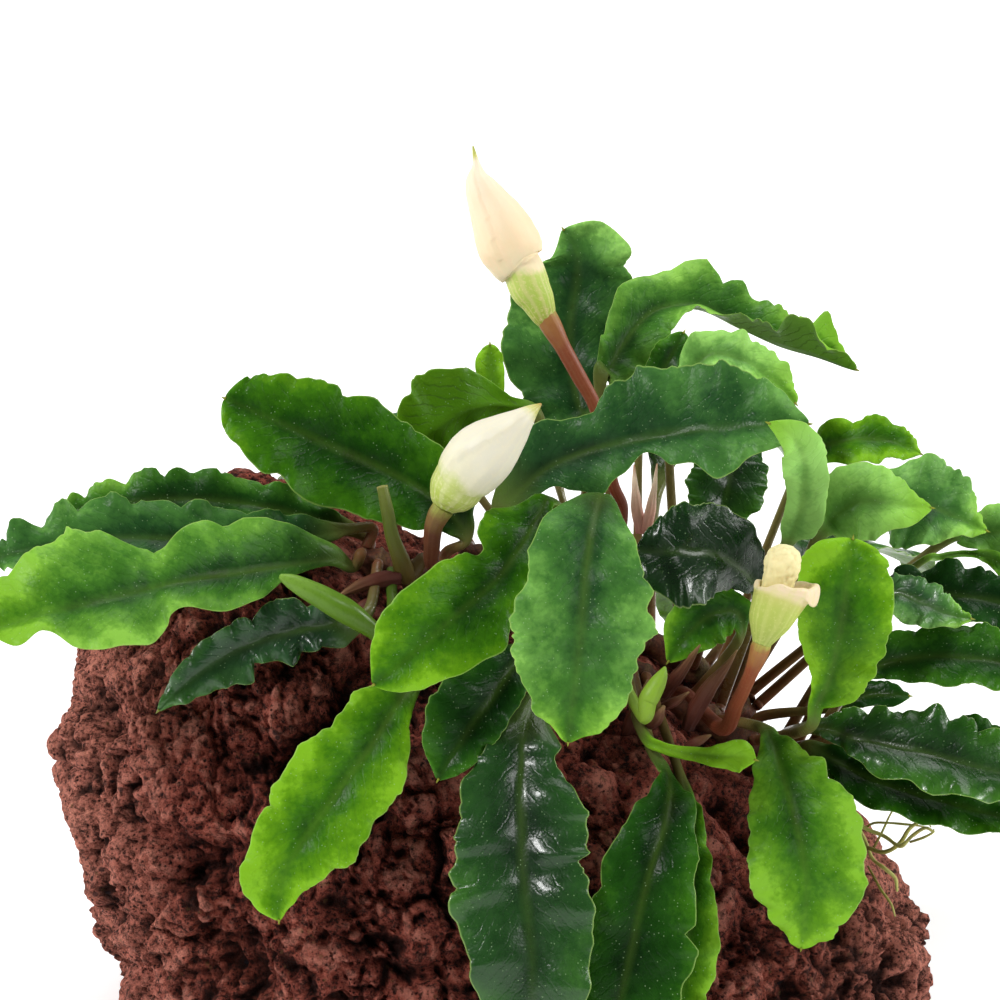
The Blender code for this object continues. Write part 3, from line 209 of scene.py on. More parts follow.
        (545, 672, 12, 6, 6), (530, 712, 20, 16, 14), (523, 742, 24, 36, 30), (522, 760, 25, 31, 42),
        (521, 776, 26, 43, 50), (521, 798, 27.3, 54, 58), (521, 820, 28.1, 63, 60),
        (522, 840, 28.7, 63, 61), (522, 856, 29.1, 61, 65), (523, 871, 29.5, 56, 68),
        (525, 886, 29.9, 59, 70), (527, 905, 30.3, 63, 71), (529, 930, 30.7, 60, 68),
        (532, 960, 31, 62, 60), (532, 990, 31, 58, 60), (533, 1045, 30, 38, 40), (533, 1076, 29, 16, 16)]),
    "leaf_31": dict(stem=("front", 0.28, -60), waves=6, height=0.8, phase=0.4, rows=[
        (650, 745, 8, 6, 6), (668, 775, 14, 8, 8), (668, 812, 22, 26, 30), (655, 855, 26, 42, 42),
        (641, 905, 27, 50, 46), (631, 950, 27, 60, 46), (620, 1000, 27, 50, 40), (610, 1040, 26, 26, 24),
        (605, 1060, 25, 9, 9)]),
    "leaf_32": dict(stem=("front", 0.36, -70), waves=5, height=0.9, phase=1.4, rows=[
        (680, 775, 6, 5, 5), (690, 808, 13, 10, 10), (692, 850, 17, 16, 18), (690, 900, 20, 24, 24),
        (687, 960, 20, 30, 28), (680, 1005, 20, 20, 20), (675, 1035, 20, 8, 8)]),
    "leaf_33": dict(stem=("front", 0.60, -65), waves=6, height=0.7, phase=1.2, rows=[
        (762, 728, 4, 6, 6), (772, 742, 9, 14, 12), (780, 768, 13, 36, 28), (792, 808, 16, 54, 42),
        (802, 852, 18, 62, 54), (806, 896, 18, 52, 48), (804, 930, 17, 32, 26), (801, 949, 16, 11, 11)]),
    "leaf_34": dict(stem=("front", 0.84, -20), waves=6, height=1.15, phase=0.3, roll=(0, -30, -38), rows=[
        (804, 728, 1, 6, 6), (824, 729, 7, 14, 8), (850, 737, 11, 27, 14), (880, 744, 13, 33, 30),
        (920, 752, 15, 38, 34), (960, 763, 16, 40, 36), (1000, 773, 16, 28, 28), (1034, 783, 16, 14, 14),
        (1050, 788, 16, 6, 6)]),
    "leaf_35": dict(stem=("front", 0.92, -30), waves=4, height=0.9, phase=1.3, roll=(0, -30, -30), rows=[
        (880, 735, 2, 5, 5), (925, 740, 5, 16, 14), (970, 741, 6, 20, 18), (1018, 749, 7, 18, 16),
        (1048, 757, 7, 6, 6)]),
    "leaf_36": dict(stem=("front", 0.90, -75), waves=6, height=1.0, phase=2.0, roll=(0, -30, -32), rows=[
        (806, 746, -2, 6, 6), (834, 760, 1, 14, 18), (872, 780, 4, 24, 26), (920, 796, 6, 26, 26),
        (965, 808, 7, 24, 25), (1010, 820, 7, 16, 16), (1042, 828, 7, 6, 6)]),
    "leaf_37": dict(stem=("front", 0.76, 15), waves=2, height=0.4, phase=0.0, roll=(0, -30, -30), rows=[
        (832, 708, -9, 5, 5), (862, 696, -6, 12, 12), (890, 695, -4, 12, 12), (910, 696, -4, 5, 5)]),
    "leaf_38": dict(stem=("front", 0.20, -30), waves=2, height=0.4, phase=0.0, rows=[
        (640, 726, 9, 6, 6), (664, 748, 14, 6, 7), (700, 754, 18, 7, 8), (722, 756, 20, 12, 12),
        (742, 756, 21, 16, 16), (756, 760, 21, 6, 6)]),
}

# Leaves on the far side, in millimetres in space: x, y, z and the two half widths
FAR_LEAVES = {
    "leaf_39": dict(stem=("back", 0.03, 85), waves=5, height=0.7, phase=0.0, rows=[
        (-12, 22, 77, 0.9, 0.9), (-19, 30, 80, 4, 4), (-27, 40, 77, 6, 6), (-32, 48, 70, 5, 5),
        (-34, 53, 62, 1.5, 1.5)]),
    "leaf_40": dict(stem=("back", 0.22, 80), waves=5, height=0.8, phase=0.9, rows=[
        (-5, 26, 78, 0.9, 0.9), (-8, 36, 81, 5, 5), (-11, 50, 80, 8, 8), (-13, 62, 72, 6, 6),
        (-14, 68, 64, 1.5, 1.5)]),
    "leaf_41": dict(stem=("back", 0.42, 85), waves=5, height=0.8, phase=1.9, rows=[
        (9, 28, 78, 0.9, 0.9), (11, 38, 83, 5, 5), (14, 52, 84, 8, 8), (18, 66, 76, 6, 6),
        (20, 73, 67, 1.5, 1.5)]),
    "leaf_42": dict(stem=("back", 0.62, 80), waves=5, height=0.8, phase=2.9, rows=[
        (25, 30, 74, 0.9, 0.9), (29, 40, 80, 5, 5), (38, 54, 81, 8, 8), (46, 66, 73, 6, 6),
        (50, 72, 65, 1.5, 1.5)]),
    "leaf_43": dict(stem=("back", 0.82, 80), waves=5, height=0.8, phase=3.9, rows=[
        (42, 28, 57, 0.9, 0.9), (48, 34, 60, 5, 5), (59, 44, 60, 7, 7), (69, 54, 53, 5, 5),
        (75, 60, 45, 1.5, 1.5)]),
    "leaf_44": dict(stem=("back", 0.55, 95), waves=5, height=0.8, phase=4.9, rows=[
        (24, 32, 60, 0.9, 0.9), (26, 43, 60, 5, 5), (29, 54, 53, 8, 8), (32, 62, 41, 6, 6),
        (34, 67, 31, 1.5, 1.5)]),
}

# Round parts seen from the front: across, down, near (mm) and radius
ROUND_PARTS = {
    "leaf_rolled": dict(stem=("left", 0.24, -85), rows=[
        (392, 643, 16, 6), (372, 630, 18.5, 9), (345, 611, 20.5, 12.5), (315, 594, 22, 11.5),
        (292, 582, 23, 8), (280, 576, 23.5, 2.5)]),
    "stalk_cut": dict(stem=("left", 0.36, -40), rows=[
        (408, 575, 6, 10), (400, 558, 9, 8.5), (392, 535, 11, 7), (387, 510, 12, 6.5),
        (382, 486, 12, 5.5)]),
    "bud_small": dict(stem=("front", 0.12, -45), rows=[
        (641, 714, 11, 6), (648, 700, 12, 10), (656, 686, 12, 9), (662, 675, 12, 6), (665, 667, 12, 1.5)]),
    "spathe_tall": dict(rows=[
        (548, 324, 5, 8.5), (544, 316, 5, 12.6), (537, 300, 5, 17.5), (530, 288, 5, 20.5),
        (524, 272, 5, 21), (520, 266, 5, 22.5), (517, 262, 5, 27.5), (511.5, 248, 5, 32),
        (501, 225, 5, 29.5), (488, 202, 5, 21.5), (478.5, 181, 5, 13.5), (476.5, 165, 5, 4.5),
        (473, 146, 5, 0.8)]),
    "stalk_tall": dict(stem=("front", 0.10, 40), rows=[
        (622, 520, -5, 6), (612, 480, 0, 6), (597, 412, 3, 6.5), (580, 378, 4, 7.2), (562, 345, 5, 8.2),
        (549, 322, 5, 11), (542, 311, 5, 10)]),
    "spathe_closed": dict(rows=[
        (444, 510, 24, 9), (447, 503, 24, 18), (453, 492, 24.3, 24.5), (459, 482, 25, 26),
        (462, 477, 25.5, 26.5), (466, 472, 26, 29.5), (478, 459, 27, 31.5), (492, 447, 28, 29),
        (507, 434, 29, 21.5), (521, 421, 30, 13), (532, 411, 30, 6.5), (541, 404, 30, 1.2)]),
    "stalk_closed": dict(stem=("left", 0.58, -45), rows=[
        (434, 565, 13, 7), (432, 545, 19, 8), (433.5, 528, 22, 8.8), (438, 516, 23.4, 10.5),
        (444, 507, 24, 11)]),
    "stalk_open": dict(stem=("front", 0.46, -55), rows=[
        (722, 728, 9, 8), (737, 703, 18, 7.0), (750, 675, 26, 6.6), (758, 655, 29.5, 8.5),
        (760.6, 648, 30.1, 9.3), (763.0, 641, 30.6, 8.6)]),
    "spadix": dict(rows=[
        (769, 612, 31, 10), (774, 598, 31, 13), (779, 580, 31, 15), (783, 562, 31, 17),
        (785, 551, 31, 14), (786, 545, 31, 7)]),
    "root_long": dict(stem=("front", 0.99, -70), start=0.3, rows=[
        (842, 800, -10, 2), (864, 838, -9, 2), (872, 858, -8, 2), (884, 868, -6, 2), (895, 878, -6, 2),
        (897, 891, -6, 1.5)]),
    "root_bent": dict(stem=("front", 0.96, -85), start=0.3, rows=[
        (836, 800, -6, 2), (862, 826, -6, 2), (884, 836, -5, 2), (900, 846, -2, 2), (912, 836, 0, 2),
        (925, 828, 2, 2), (934, 832, 2, 1.5)]),
}

# Open spathe: middle of its foot and of its mouth seen from the front, and its profile
# from the floor inside over the rim to the foot: share of the length, radius in steps
CUP_FOOT = (762.5, 640.0, 30.7)
CUP_MOUTH = (781.0, 588.0, 31.0)
CUP_PROFILE = [(0.42, 0.0), (0.42, 8.0), (0.50, 16.0), (0.75, 18.5), (0.98, 21.5), (1.08, 24.5),
               (1.07, 28.5), (0.97, 28.5), (0.86, 26.0), (0.65, 23.5), (0.35, 20.0), (0.12, 14.0),
               (-0.02, 10.0), (-0.08, 8.0), (-0.08, 0.0)]
# Direction round the cup in which its wall is highest and flares most
CUP_LIP = 0.2
# Place in the profile at which the lip folds over
CUP_FOLD_MARK = 6.6

# Sheaths and scales on the creeping stems, seen from the front: across, down, near (mm), radius
SHEATHS = {
    "sheath_upper": [(664, 696, 2, 5), (672, 684, 4, 7), (685, 666, 6, 6), (700, 645, 8, 1)],
    "sheath_flower": [(688, 728, 6, 7), (698, 706, 9, 9), (714, 682, 11, 7), (728, 664, 12, 3.5),
                      (737, 650, 12, 0.8)],
    "sheath_bud": [(650, 724, 9, 7), (656, 716, 11, 9), (664, 706, 12, 2)],
    "sheath_middle": [(624, 742, 4, 6), (632, 722, 6, 8), (642, 700, 7, 6), (648, 680, 7, 1.5)],
    "sheath_left": [(400, 578, 8, 7), (378, 580, 9, 9), (356, 588, 9, 6), (337, 597, 9, 1)],
    "sheath_low": [(377, 600, 9, 6), (364, 606, 10, 7), (350, 620, 10, 1)],
    "scale_small": [(664, 706, 8, 5), (674, 702, 9, 6), (689, 692, 9, 1)],
    "scale_dry": [(686, 746, 8, 4), (698, 741, 9, 6), (711, 735, 9, 1)],
    "prong_left": [(641, 532, 2, 6), (637, 510, 3, 6), (635, 488, 3, 3.5), (634, 465, 3, 0.7)],
    "prong_right": [(645, 532, 2, 6), (650, 512, 4, 5.5), (654, 488, 4, 3), (657, 464, 4, 0.7)],
}

# Fine side roots on the right, seen from the front: across, down, near (mm), radius
ROOTLETS = {
    "rootlet_brown": [(868, 848, -8, 2.2), (884, 852, -6, 2.2), (899, 844, -4, 2.2), (910, 828, -2, 2.0),
                      (923, 820, -1, 1.4)],
    "rootlet_green": [(874, 847, -7, 1.6), (882, 832, -6, 1.2), (891, 813, -6, 1.0), (897, 806, -6, 0.6)],
    "rootlet_pale": [(864, 829, -7, 1.2), (874, 823, -6, 1.3), (890, 823, -4, 1.2), (913, 825, -2, 1.2),
                     (926, 827, -1, 0.6)],
    "rootlet_upper": [(893, 806, -6, 0.8), (911, 813, -4, 1.2), (925, 819, -2, 1.0), (931, 827, 0, 0.6)],
    "rootlet_low": [(868, 866, -9, 1.2), (880, 888, -5, 1.4), (891, 904, -2, 1.3), (895, 916, -1, 0.7)],
    "rootlet_tuft": [(910, 842, 0, 1.4), (922, 838, 1, 1.5), (932, 833, 2, 1.2), (934, 829, 2, 0.6)],
}

# How young (bright) and how cool (bluish) each leaf is, from 0 to 1
LEAF_TONES = {
    "leaf_01": (0.63, 0.35), "leaf_02": (0.38, 0.75), "leaf_03": (0.37, 0.30), "leaf_04": (0.24, 0.90),
    "leaf_05": (0.33, 0.00), "leaf_06": (0.62, 0.00), "leaf_07": (0.93, 0.00), "leaf_08": (0.45, 0.75),
    "leaf_09": (0.64, 0.45), "leaf_10": (0.32, 0.20), "leaf_11": (0.80, 0.80), "leaf_12": (0.34, 0.85),
    "leaf_13": (1.00, 0.90), "leaf_14": (0.93, 0.65), "leaf_15": (0.66, 0.00), "leaf_16": (0.75, 0.85),
    "leaf_17": (0.85, 0.60), "leaf_18": (0.76, 0.10), "leaf_19": (0.10, 0.30), "leaf_20": (0.60, 0.95),
    "leaf_21": (0.30, 0.15), "leaf_22": (0.73, 0.00), "leaf_23": (0.00, 0.30), "leaf_24": (0.48, 0.10),
    "leaf_25": (0.24, 0.20), "leaf_26": (0.54, 0.70), "leaf_27": (0.41, 0.00), "leaf_28": (0.22, 0.20),
    "leaf_29": (0.65, 0.00), "leaf_30": (0.17, 0.40), "leaf_31": (0.22, 0.10), "leaf_32": (0.62, 0.05),
    "leaf_33": (0.73, 0.10), "leaf_34": (0.23, 0.15), "leaf_35": (0.28, 0.15), "leaf_36": (0.24, 0.00),
    "leaf_37": (0.10, 0.20), "leaf_38": (1.00, 0.00), "leaf_39": (0.30, 0.20), "leaf_40": (0.20, 0.30),
    "leaf_41": (0.36, 0.20), "leaf_42": (0.16, 0.40), "leaf_43": (0.30, 0.20), "leaf_44": (0.50, 0.10),
}

# The leaf whose underside faces the front, and the leaves with a wet gloss
TURNED_LEAVES = ("leaf_06",)
GLOSSY_LEAVES = ("leaf_04", "leaf_20", "leaf_23", "leaf_25", "leaf_30", "leaf_34")

# Grids of the finished surfaces
STALK_RINGS = 20
BLADE_RINGS = 92
POINT_RINGS = 5
BLADE_COLUMNS = 27
STONE_COLUMNS = 520
STONE_ROWS = 190
STONE_FRONT_DENSITY = 0.38
CUP_RINGS = 84
CUP_COLUMNS = 96

# Stalks (mm): how deep they start in the creeping stem and how far they run straight
STALK_SINK = 0.7
STALK_SETOUT = 3.0
# Leaf details (mm): least half width, midrib, the dip beside it, side veins, the point
LEAST_HALF_WIDTH = 0.12
RIB_WIDTH = 0.55
VALLEY_WIDTH = 1.6
VEIN_SPACING = 2.2
VEIN_SLANT = 1.2
POINT_LENGTH = 0.8
POINT_RADIUS = 0.22
# Ring spacing that grows denser to the tip as a power, and the share of the blade up to
# which its direction is carried down the stalk
TIP_CROWDING = 1.25
CARRIED_UP_TO = 0.27

# Clumps on the stone: size (mm), groove width as a share of it, seed, weight of the
# heads, weight of the grooves
CLUMPS = [(7.5, 0.12, 110, 0.70, 1.5), (3.1, 0.15, 120, 0.50, 0.95), (1.6, 0.20, 140, 0.28, 0.50)]
# Folds on the stone: size (mm), seed, weight; the first follows the warped clumps
FOLDS = [(2.8, 150, 0.75), (1.5, 151, 0.60), (0.95, 152, 0.35)]
# Bubbles in the stone: cell size and radius (mm), seed, weight
BUBBLES = [(7.0, 1.7, 20, 1.7), (3.4, 0.9, 30, 1.2), (1.8, 0.55, 40, 0.7)]
# Distance from the middle plane (mm) at which painted rim light starts to make the stone paler,
# and the further distance over which it gets to full strength
RIM_LIGHT_START = 45.0
RIM_LIGHT_REACH = 19.0


def unit(vector):
    """Return vectors of length one along the last axis."""
    return vector / np.maximum(np.linalg.norm(vector, axis=-1, keepdims=True), 1e-9)


def from_sight(across, down, near):
    """Turn a point seen from the front into millimetres in space."""
    step = SIGHT_STEP * (SIGHT_DISTANCE - near) / SIGHT_DISTANCE
    aside = (across - SIGHT_MIDDLE) * step
    above = (SIGHT_MIDDLE - down) * step
    return SIGHT_CENTRE + RIGHTWARD * aside + UPWARD * above + NEARWARD * near


def to_sight(points):
    """Turn millimetres in space into across, down and near as seen from the front."""
    raised = points - SIGHT_CENTRE
    near = raised @ NEARWARD
    step = SIGHT_STEP * (SIGHT_DISTANCE - near) / SIGHT_DISTANCE
    return SIGHT_MIDDLE + raised @ RIGHTWARD / step, SIGHT_MIDDLE - raised @ UPWARD / step, near


def read_rows(rows, seen):
    """Give the points and the widths of a table in millimetres, seen from the front or not."""
    if not seen:
        return [np.array(row[:3], dtype=float) for row in rows], [tuple(row[3:]) for row in rows]
    points = [from_sight(*row[:3]) for row in rows]
    return points, [tuple(width * SIGHT_STEP for width in row[3:]) for row in rows]


def through_points(points, stations):
    """Run a smooth curve through the points; a station is a point number and a share.

    Between two points the curve is the cubic whose slope at each point is half the
    step from the point before it to the point after it.
    """
    points = np.asarray(points, dtype=float)
    before = 2.0 * points[0] - points[1]
    after = 2.0 * points[-1] - points[-2]
    padded = np.vstack([before, points, after])
    first = np.clip(np.floor(stations).astype(int), 0, len(points) - 2)
    share = (stations - first)[:, None]
    p0, p1, p2, p3 = (padded[first + shift] for shift in range(4))
    straight = 2.0 * p1 + (p2 - p0) * share
    bent = (2.0 * p0 - 5.0 * p1 + 4.0 * p2 - p3) * share ** 2
    bent = bent + (3.0 * p1 - p0 - 3.0 * p2 + p3) * share ** 3
    return 0.5 * (straight + bent)


def lattice_value(x, y, z, seed):
    """Give a fixed random number from -1 to 1 for whole-number coordinates."""
    mixed = (x * 374761393 + y * 668265263 + z * 1274126177 + seed * 974634777) & 0x7FFFFFFF
    mixed = ((mixed ^ (mixed >> 13)) * 1103515245) & 0x7FFFFFFF
    mixed = ((mixed ^ (mixed >> 15)) * 12345677) & 0x7FFFFFFF
    return (mixed & 0xFFFFFF) / 8388607.5 - 1.0


def smooth_noise(points, size, seed):
    """Random field: lattice values a size apart, eased between by 3t^2 - 2t^3 on each axis."""
    scaled = points / size
    low = np.floor(scaled).astype(np.int64)
    part = scaled - low
    ease = part * part * (3.0 - 2.0 * part)
    total = np.zeros(len(points))
    for corner in range(8):
        step = np.array([corner & 1, (corner >> 1) & 1, (corner >> 2) & 1])
        weight = np.prod(np.where(step == 1, ease, 1.0 - ease), axis=1)
        place = low + step
        total = total + weight * lattice_value(place[:, 0], place[:, 1], place[:, 2], seed)
    return total


def drift(points, reach, size, seed):
    """Shift for each point: smooth noise on each axis, up to the reach."""
    return reach * np.stack([smooth_noise(points, size, seed + axis) for axis in range(3)], axis=1)


def near_cells(points, size, jitter, seed):
    """Go through the 27 cells round each point.

    Each time it gives the way from the cell's jittered middle to the point, in cell
    sizes, and the cell's fixed random number from -1 to 1.
    """
    scaled = points / size
    low = np.floor(scaled).astype(np.int64)
    for number in range(27):
        place = low + np.array([number % 3 - 1, (number // 3) % 3 - 1, number // 9 - 1])
        x, y, z = place[:, 0], place[:, 1], place[:, 2]
        shift = np.stack([lattice_value(x, y, z, seed + axis) for axis in range(3)], axis=1)
        yield scaled - (place + 0.5 + jitter * shift), lattice_value(x, y, z, seed + 3)


def cell_bubbles(points, size, radius, seed):
    """Bubble depths from 0 to 1: one jittered bubble in each cell, round as sqrt(1 - d^2/r^2)."""
    deepest = np.zeros(len(points))
    for way, number in near_cells(points, size, 0.45, seed):
        distance = np.linalg.norm(way * size, axis=1)
        reach = radius * (0.75 + 0.35 * number)
        deepest = np.maximum(deepest, np.sqrt(np.clip(1.0 - (distance / reach) ** 2, 0.0, 1.0)))
    return deepest


def cell_lumps(points, size, seed):
    """Cells with a jittered middle each: distance to the nearest, gap to the next, its number.

    The gap is the second nearest distance less the nearest, so it is nothing on the
    border between two cells; the number is fixed and random from -1 to 1 in each cell.
    """
    nearest = np.full(len(points), np.inf)
    second = np.full(len(points), np.inf)
    chosen = np.zeros(len(points))
    for way, number in near_cells(points, size, 0.48, seed):
        distance = np.linalg.norm(way, axis=1)
        closer = distance < nearest
        second = np.where(closer, nearest, np.minimum(second, distance))
        chosen = np.where(closer, number, chosen)
        nearest = np.where(closer, distance, nearest)
    return nearest * size, (second - nearest) * size, chosen


def link_mesh(name, points, faces):
    """Make an object at the origin from points in metres and faces."""
    mesh = bpy.data.meshes.new(name)
    mesh.from_pydata(points, [], faces)
    piece = bpy.data.objects.new(name, mesh)
    bpy.context.scene.collection.objects.link(piece)
    return piece


def closed_faces(rows, columns):
    """Number the faces of a tube of rings with a point before the first and after the last."""
    row = np.arange(rows - 1)[:, None] * columns + 1
    here = np.arange(columns)
    there = (here + 1) % columns
    low_here = row + here
    low_there = row + there
    quads = np.stack([low_here, low_there, low_there + columns, low_here + columns], axis=2)
    last = rows * columns + 1
    foot = np.stack([np.zeros(columns, dtype=int), 1 + there, 1 + here], axis=1)
    tip = np.stack([np.full(columns, last), last - columns + here, last - columns + there], axis=1)
    return quads.reshape(-1, 4).tolist() + foot.tolist() + tip.tolist()


def skin(name, rings, values, foot=None, tip=None):
    """Close rings of points (rows x columns x 3) into one skin with their number fields."""
    rows, columns = rings.shape[:2]
    foot = rings[0].mean(axis=0) if foot is None else foot
    tip = rings[-1].mean(axis=0) if tip is None else tip
    points = np.vstack([foot[None], rings.reshape(-1, 3), tip[None]])
    piece = link_mesh(name, (points * MM).tolist(), closed_faces(rows, columns))
    mesh = piece.data
    mesh.polygons.foreach_set("use_smooth", np.full(len(mesh.polygons), True))
    mesh.update()
    for key, field in values.items():
        field = np.broadcast_to(field, (rows, columns))
        numbers = np.concatenate([[field[0].mean()], field.ravel(), [field[-1].mean()]])
        layer = mesh.attributes.new(key, "FLOAT", "POINT")
        layer.data.foreach_set("value", numbers.astype(np.float32))
    return piece


def carry_frames(path, start):
    """Give along, across and out directions of a path, carried with the least turning."""
    along = unit(np.gradient(path, axis=0))
    across = np.zeros_like(along)
    across[0] = unit(start - along[0] * np.dot(start, along[0]))
    for number in range(1, len(path)):
        kept = across[number - 1] - along[number] * np.dot(across[number - 1], along[number])
        across[number] = unit(kept)
    return along, across, np.cross(across, along)


def line_distance(places, line):
    """Distance from places in a plane to the nearest of a line's straight steps."""
    nearest = np.full(len(places), np.inf)
    for start, end in zip(line[:-1], line[1:]):
        start = np.array(start, dtype=float)
        span = np.array(end, dtype=float) - start
        share = np.clip(((places - start) @ span) / (span @ span), 0.0, 1.0)
        nearest = np.minimum(nearest, np.linalg.norm(places - start - share[:, None] * span, axis=1))
    return nearest


def stone_swell(x, y, z):
    """Give the outward swelling of the stone's big lumps, a sum of products of sines."""
    first = np.sin(x * 0.21 + 1.3 * np.sin(z * 0.13) + 0.4) * np.cos(z * 0.19 + 0.7)
    second = np.sin(y * 0.24 + z * 0.11 + 1.1) * np.sin(x * 0.15 - y * 0.09 + 2.0)
    third = np.sin(x * 0.43 + y * 0.37 + 0.9) * np.sin(z * 0.41 + 0.2)
    return 1.1 * first + 1.0 * second + 0.6 * third


def end_fade(height, reach, least=0.0):
    """Fade from the foot and from the crest of the stone, each over a reach in millimetres."""
    return np.clip(height / reach, 0.0, 1.0) * np.clip((STONE_HEIGHT - height) / reach, least, 1.0)


def stone_reach(around, z):
    """Give the stone's middle at a height and its edge in a direction round it.

    The edge is the superellipse |x/a|^p + |y/b|^p = 1 between the outline tables,
    swollen by the lumps, which fade at the foot and the crest.
    """
    tables = (STONE_LEFT, STONE_RIGHT, STONE_FRONT, STONE_BACK)
    left, right, front, back = (np.interp(z, STONE_LEVELS, table) for table in tables)
    middle_x = 0.5 * (left + right)
    middle_y = 0.5 * (front + back)
    wide = 0.5 * (right - left)
    deep = 0.5 * (back - front)
    east = np.cos(around)
    north = np.sin(around)
    power = STONE_SQUARENESS
    reach = (np.abs(east / wide) ** power + np.abs(north / deep) ** power) ** (-1.0 / power)
    swell = stone_swell(middle_x + east * reach, middle_y + north * reach, z)
    reach = reach + swell * end_fade(z, 6.0) * np.clip(reach / 8.0, 0.0, 1.0)
    return middle_x, middle_y, reach


def stone_top(x, y):
    """Find the height of the stone's upper surface over a point in plan."""
    for z in np.arange(STONE_HEIGHT, 0.0, -0.1):
        middle_x, middle_y, reach = stone_reach(0.0, z)
        around = np.arctan2(y - middle_y, x - middle_x)
        middle_x, middle_y, reach = stone_reach(around, z)
        if np.hypot(x - middle_x, y - middle_y) < reach:
            return z
    return 0.0


def hollow_depth(points, sway, narrow):
    """Depth of the long hollows: exp(-(d/w)^2) of the distance to each hollow's line.

    sway shifts the lines by smooth noise, in steps of the front view; narrow scales
    their width. The hollows fade out where the surface turns away to the back.
    """
    across, down, near = to_sight(points)
    seen = np.stack([across, down], axis=1)
    seen[:, 0] += sway * smooth_noise(points, 5.0, 71)
    seen[:, 1] += sway * smooth_noise(points, 5.0, 72)
    total = np.zeros(len(points))
    for line, width, depth in HOLLOWS:
        away = line_distance(seen, line)
        total = np.maximum(total, depth * np.exp(-(away / (narrow * width)) ** 2))
    return total * np.clip((near + 8.0) / 8.0, 0.0, 1.0)


def bare_share(points, start, reach):
    """Share of the relief that is kept: little beside the creeping stems, all further off."""
    away = np.min([line_distance(points[:, :2], line) for line in RHIZOMES.values()], axis=0)
    return RELIEF_AT_STEMS + (1.0 - RELIEF_AT_STEMS) * np.clip((away - start) / reach, 0.0, 1.0)


def soft_crest(push):
    """Round off a high push as start + rise tanh((push - start) / softness)."""
    rounded = CREST_START + CREST_RISE * np.tanh((push - CREST_START) / CREST_SOFTNESS)
    return np.where(push > CREST_START, rounded, push)


def stone_relief(points):
    """Main relief of the stone: round heads 1 - (d/r)^2 cut apart by grooves exp(-(gap/w)^2).

    The heads are 15 mm apart; the long hollows sink in, broad noise is added, and all
    of it fades at the foot, at the crest and beside the creeping stems.
    """
    middle, gap, number = cell_lumps(points + drift(points, 2.2, 7.0, 1), STONE_MASS, 100)
    head = np.clip(1.0 - (middle / (HEAD_RADIUS * STONE_MASS)) ** 2, HEAD_FLOOR, 1.0) + 0.7 * number
    uneven = 0.8 + 0.4 * smooth_noise(points, 1.6 * STONE_MASS, 107)
    groove = np.exp(-(gap / (0.24 * STONE_MASS)) ** 2) * uneven
    broad = 0.6 * smooth_noise(points, 17.0, 4)
    relief = 1.3 * head - 2.6 * groove + broad - hollow_depth(points, 0.0, 1.0) + 0.9
    return soft_crest(relief) * end_fade(points[:, 2], 5.0) * bare_share(points, 4.0, 5.0)


def clumps(points, size, groove, seed):
    """Clumped surface: round heads 1 - (d/0.62 size)^2 of uneven height, cut apart by grooves.

    The groove is exp(-(gap/width)^2), its depth broken up by smooth noise.
    """
    middle, gap, number = cell_lumps(points, size, seed)
    head = 1.0 - (middle / (HEAD_RADIUS * size)) ** 2
    uneven = 0.55 + 0.75 * smooth_noise(points, 1.6 * size, seed + 7)
    cut = np.exp(-(gap / (groove * size)) ** 2) * np.clip(uneven, 0.0, 1.5)
    return np.clip(head, HEAD_FLOOR, 1.0) + 0.55 * number, cut


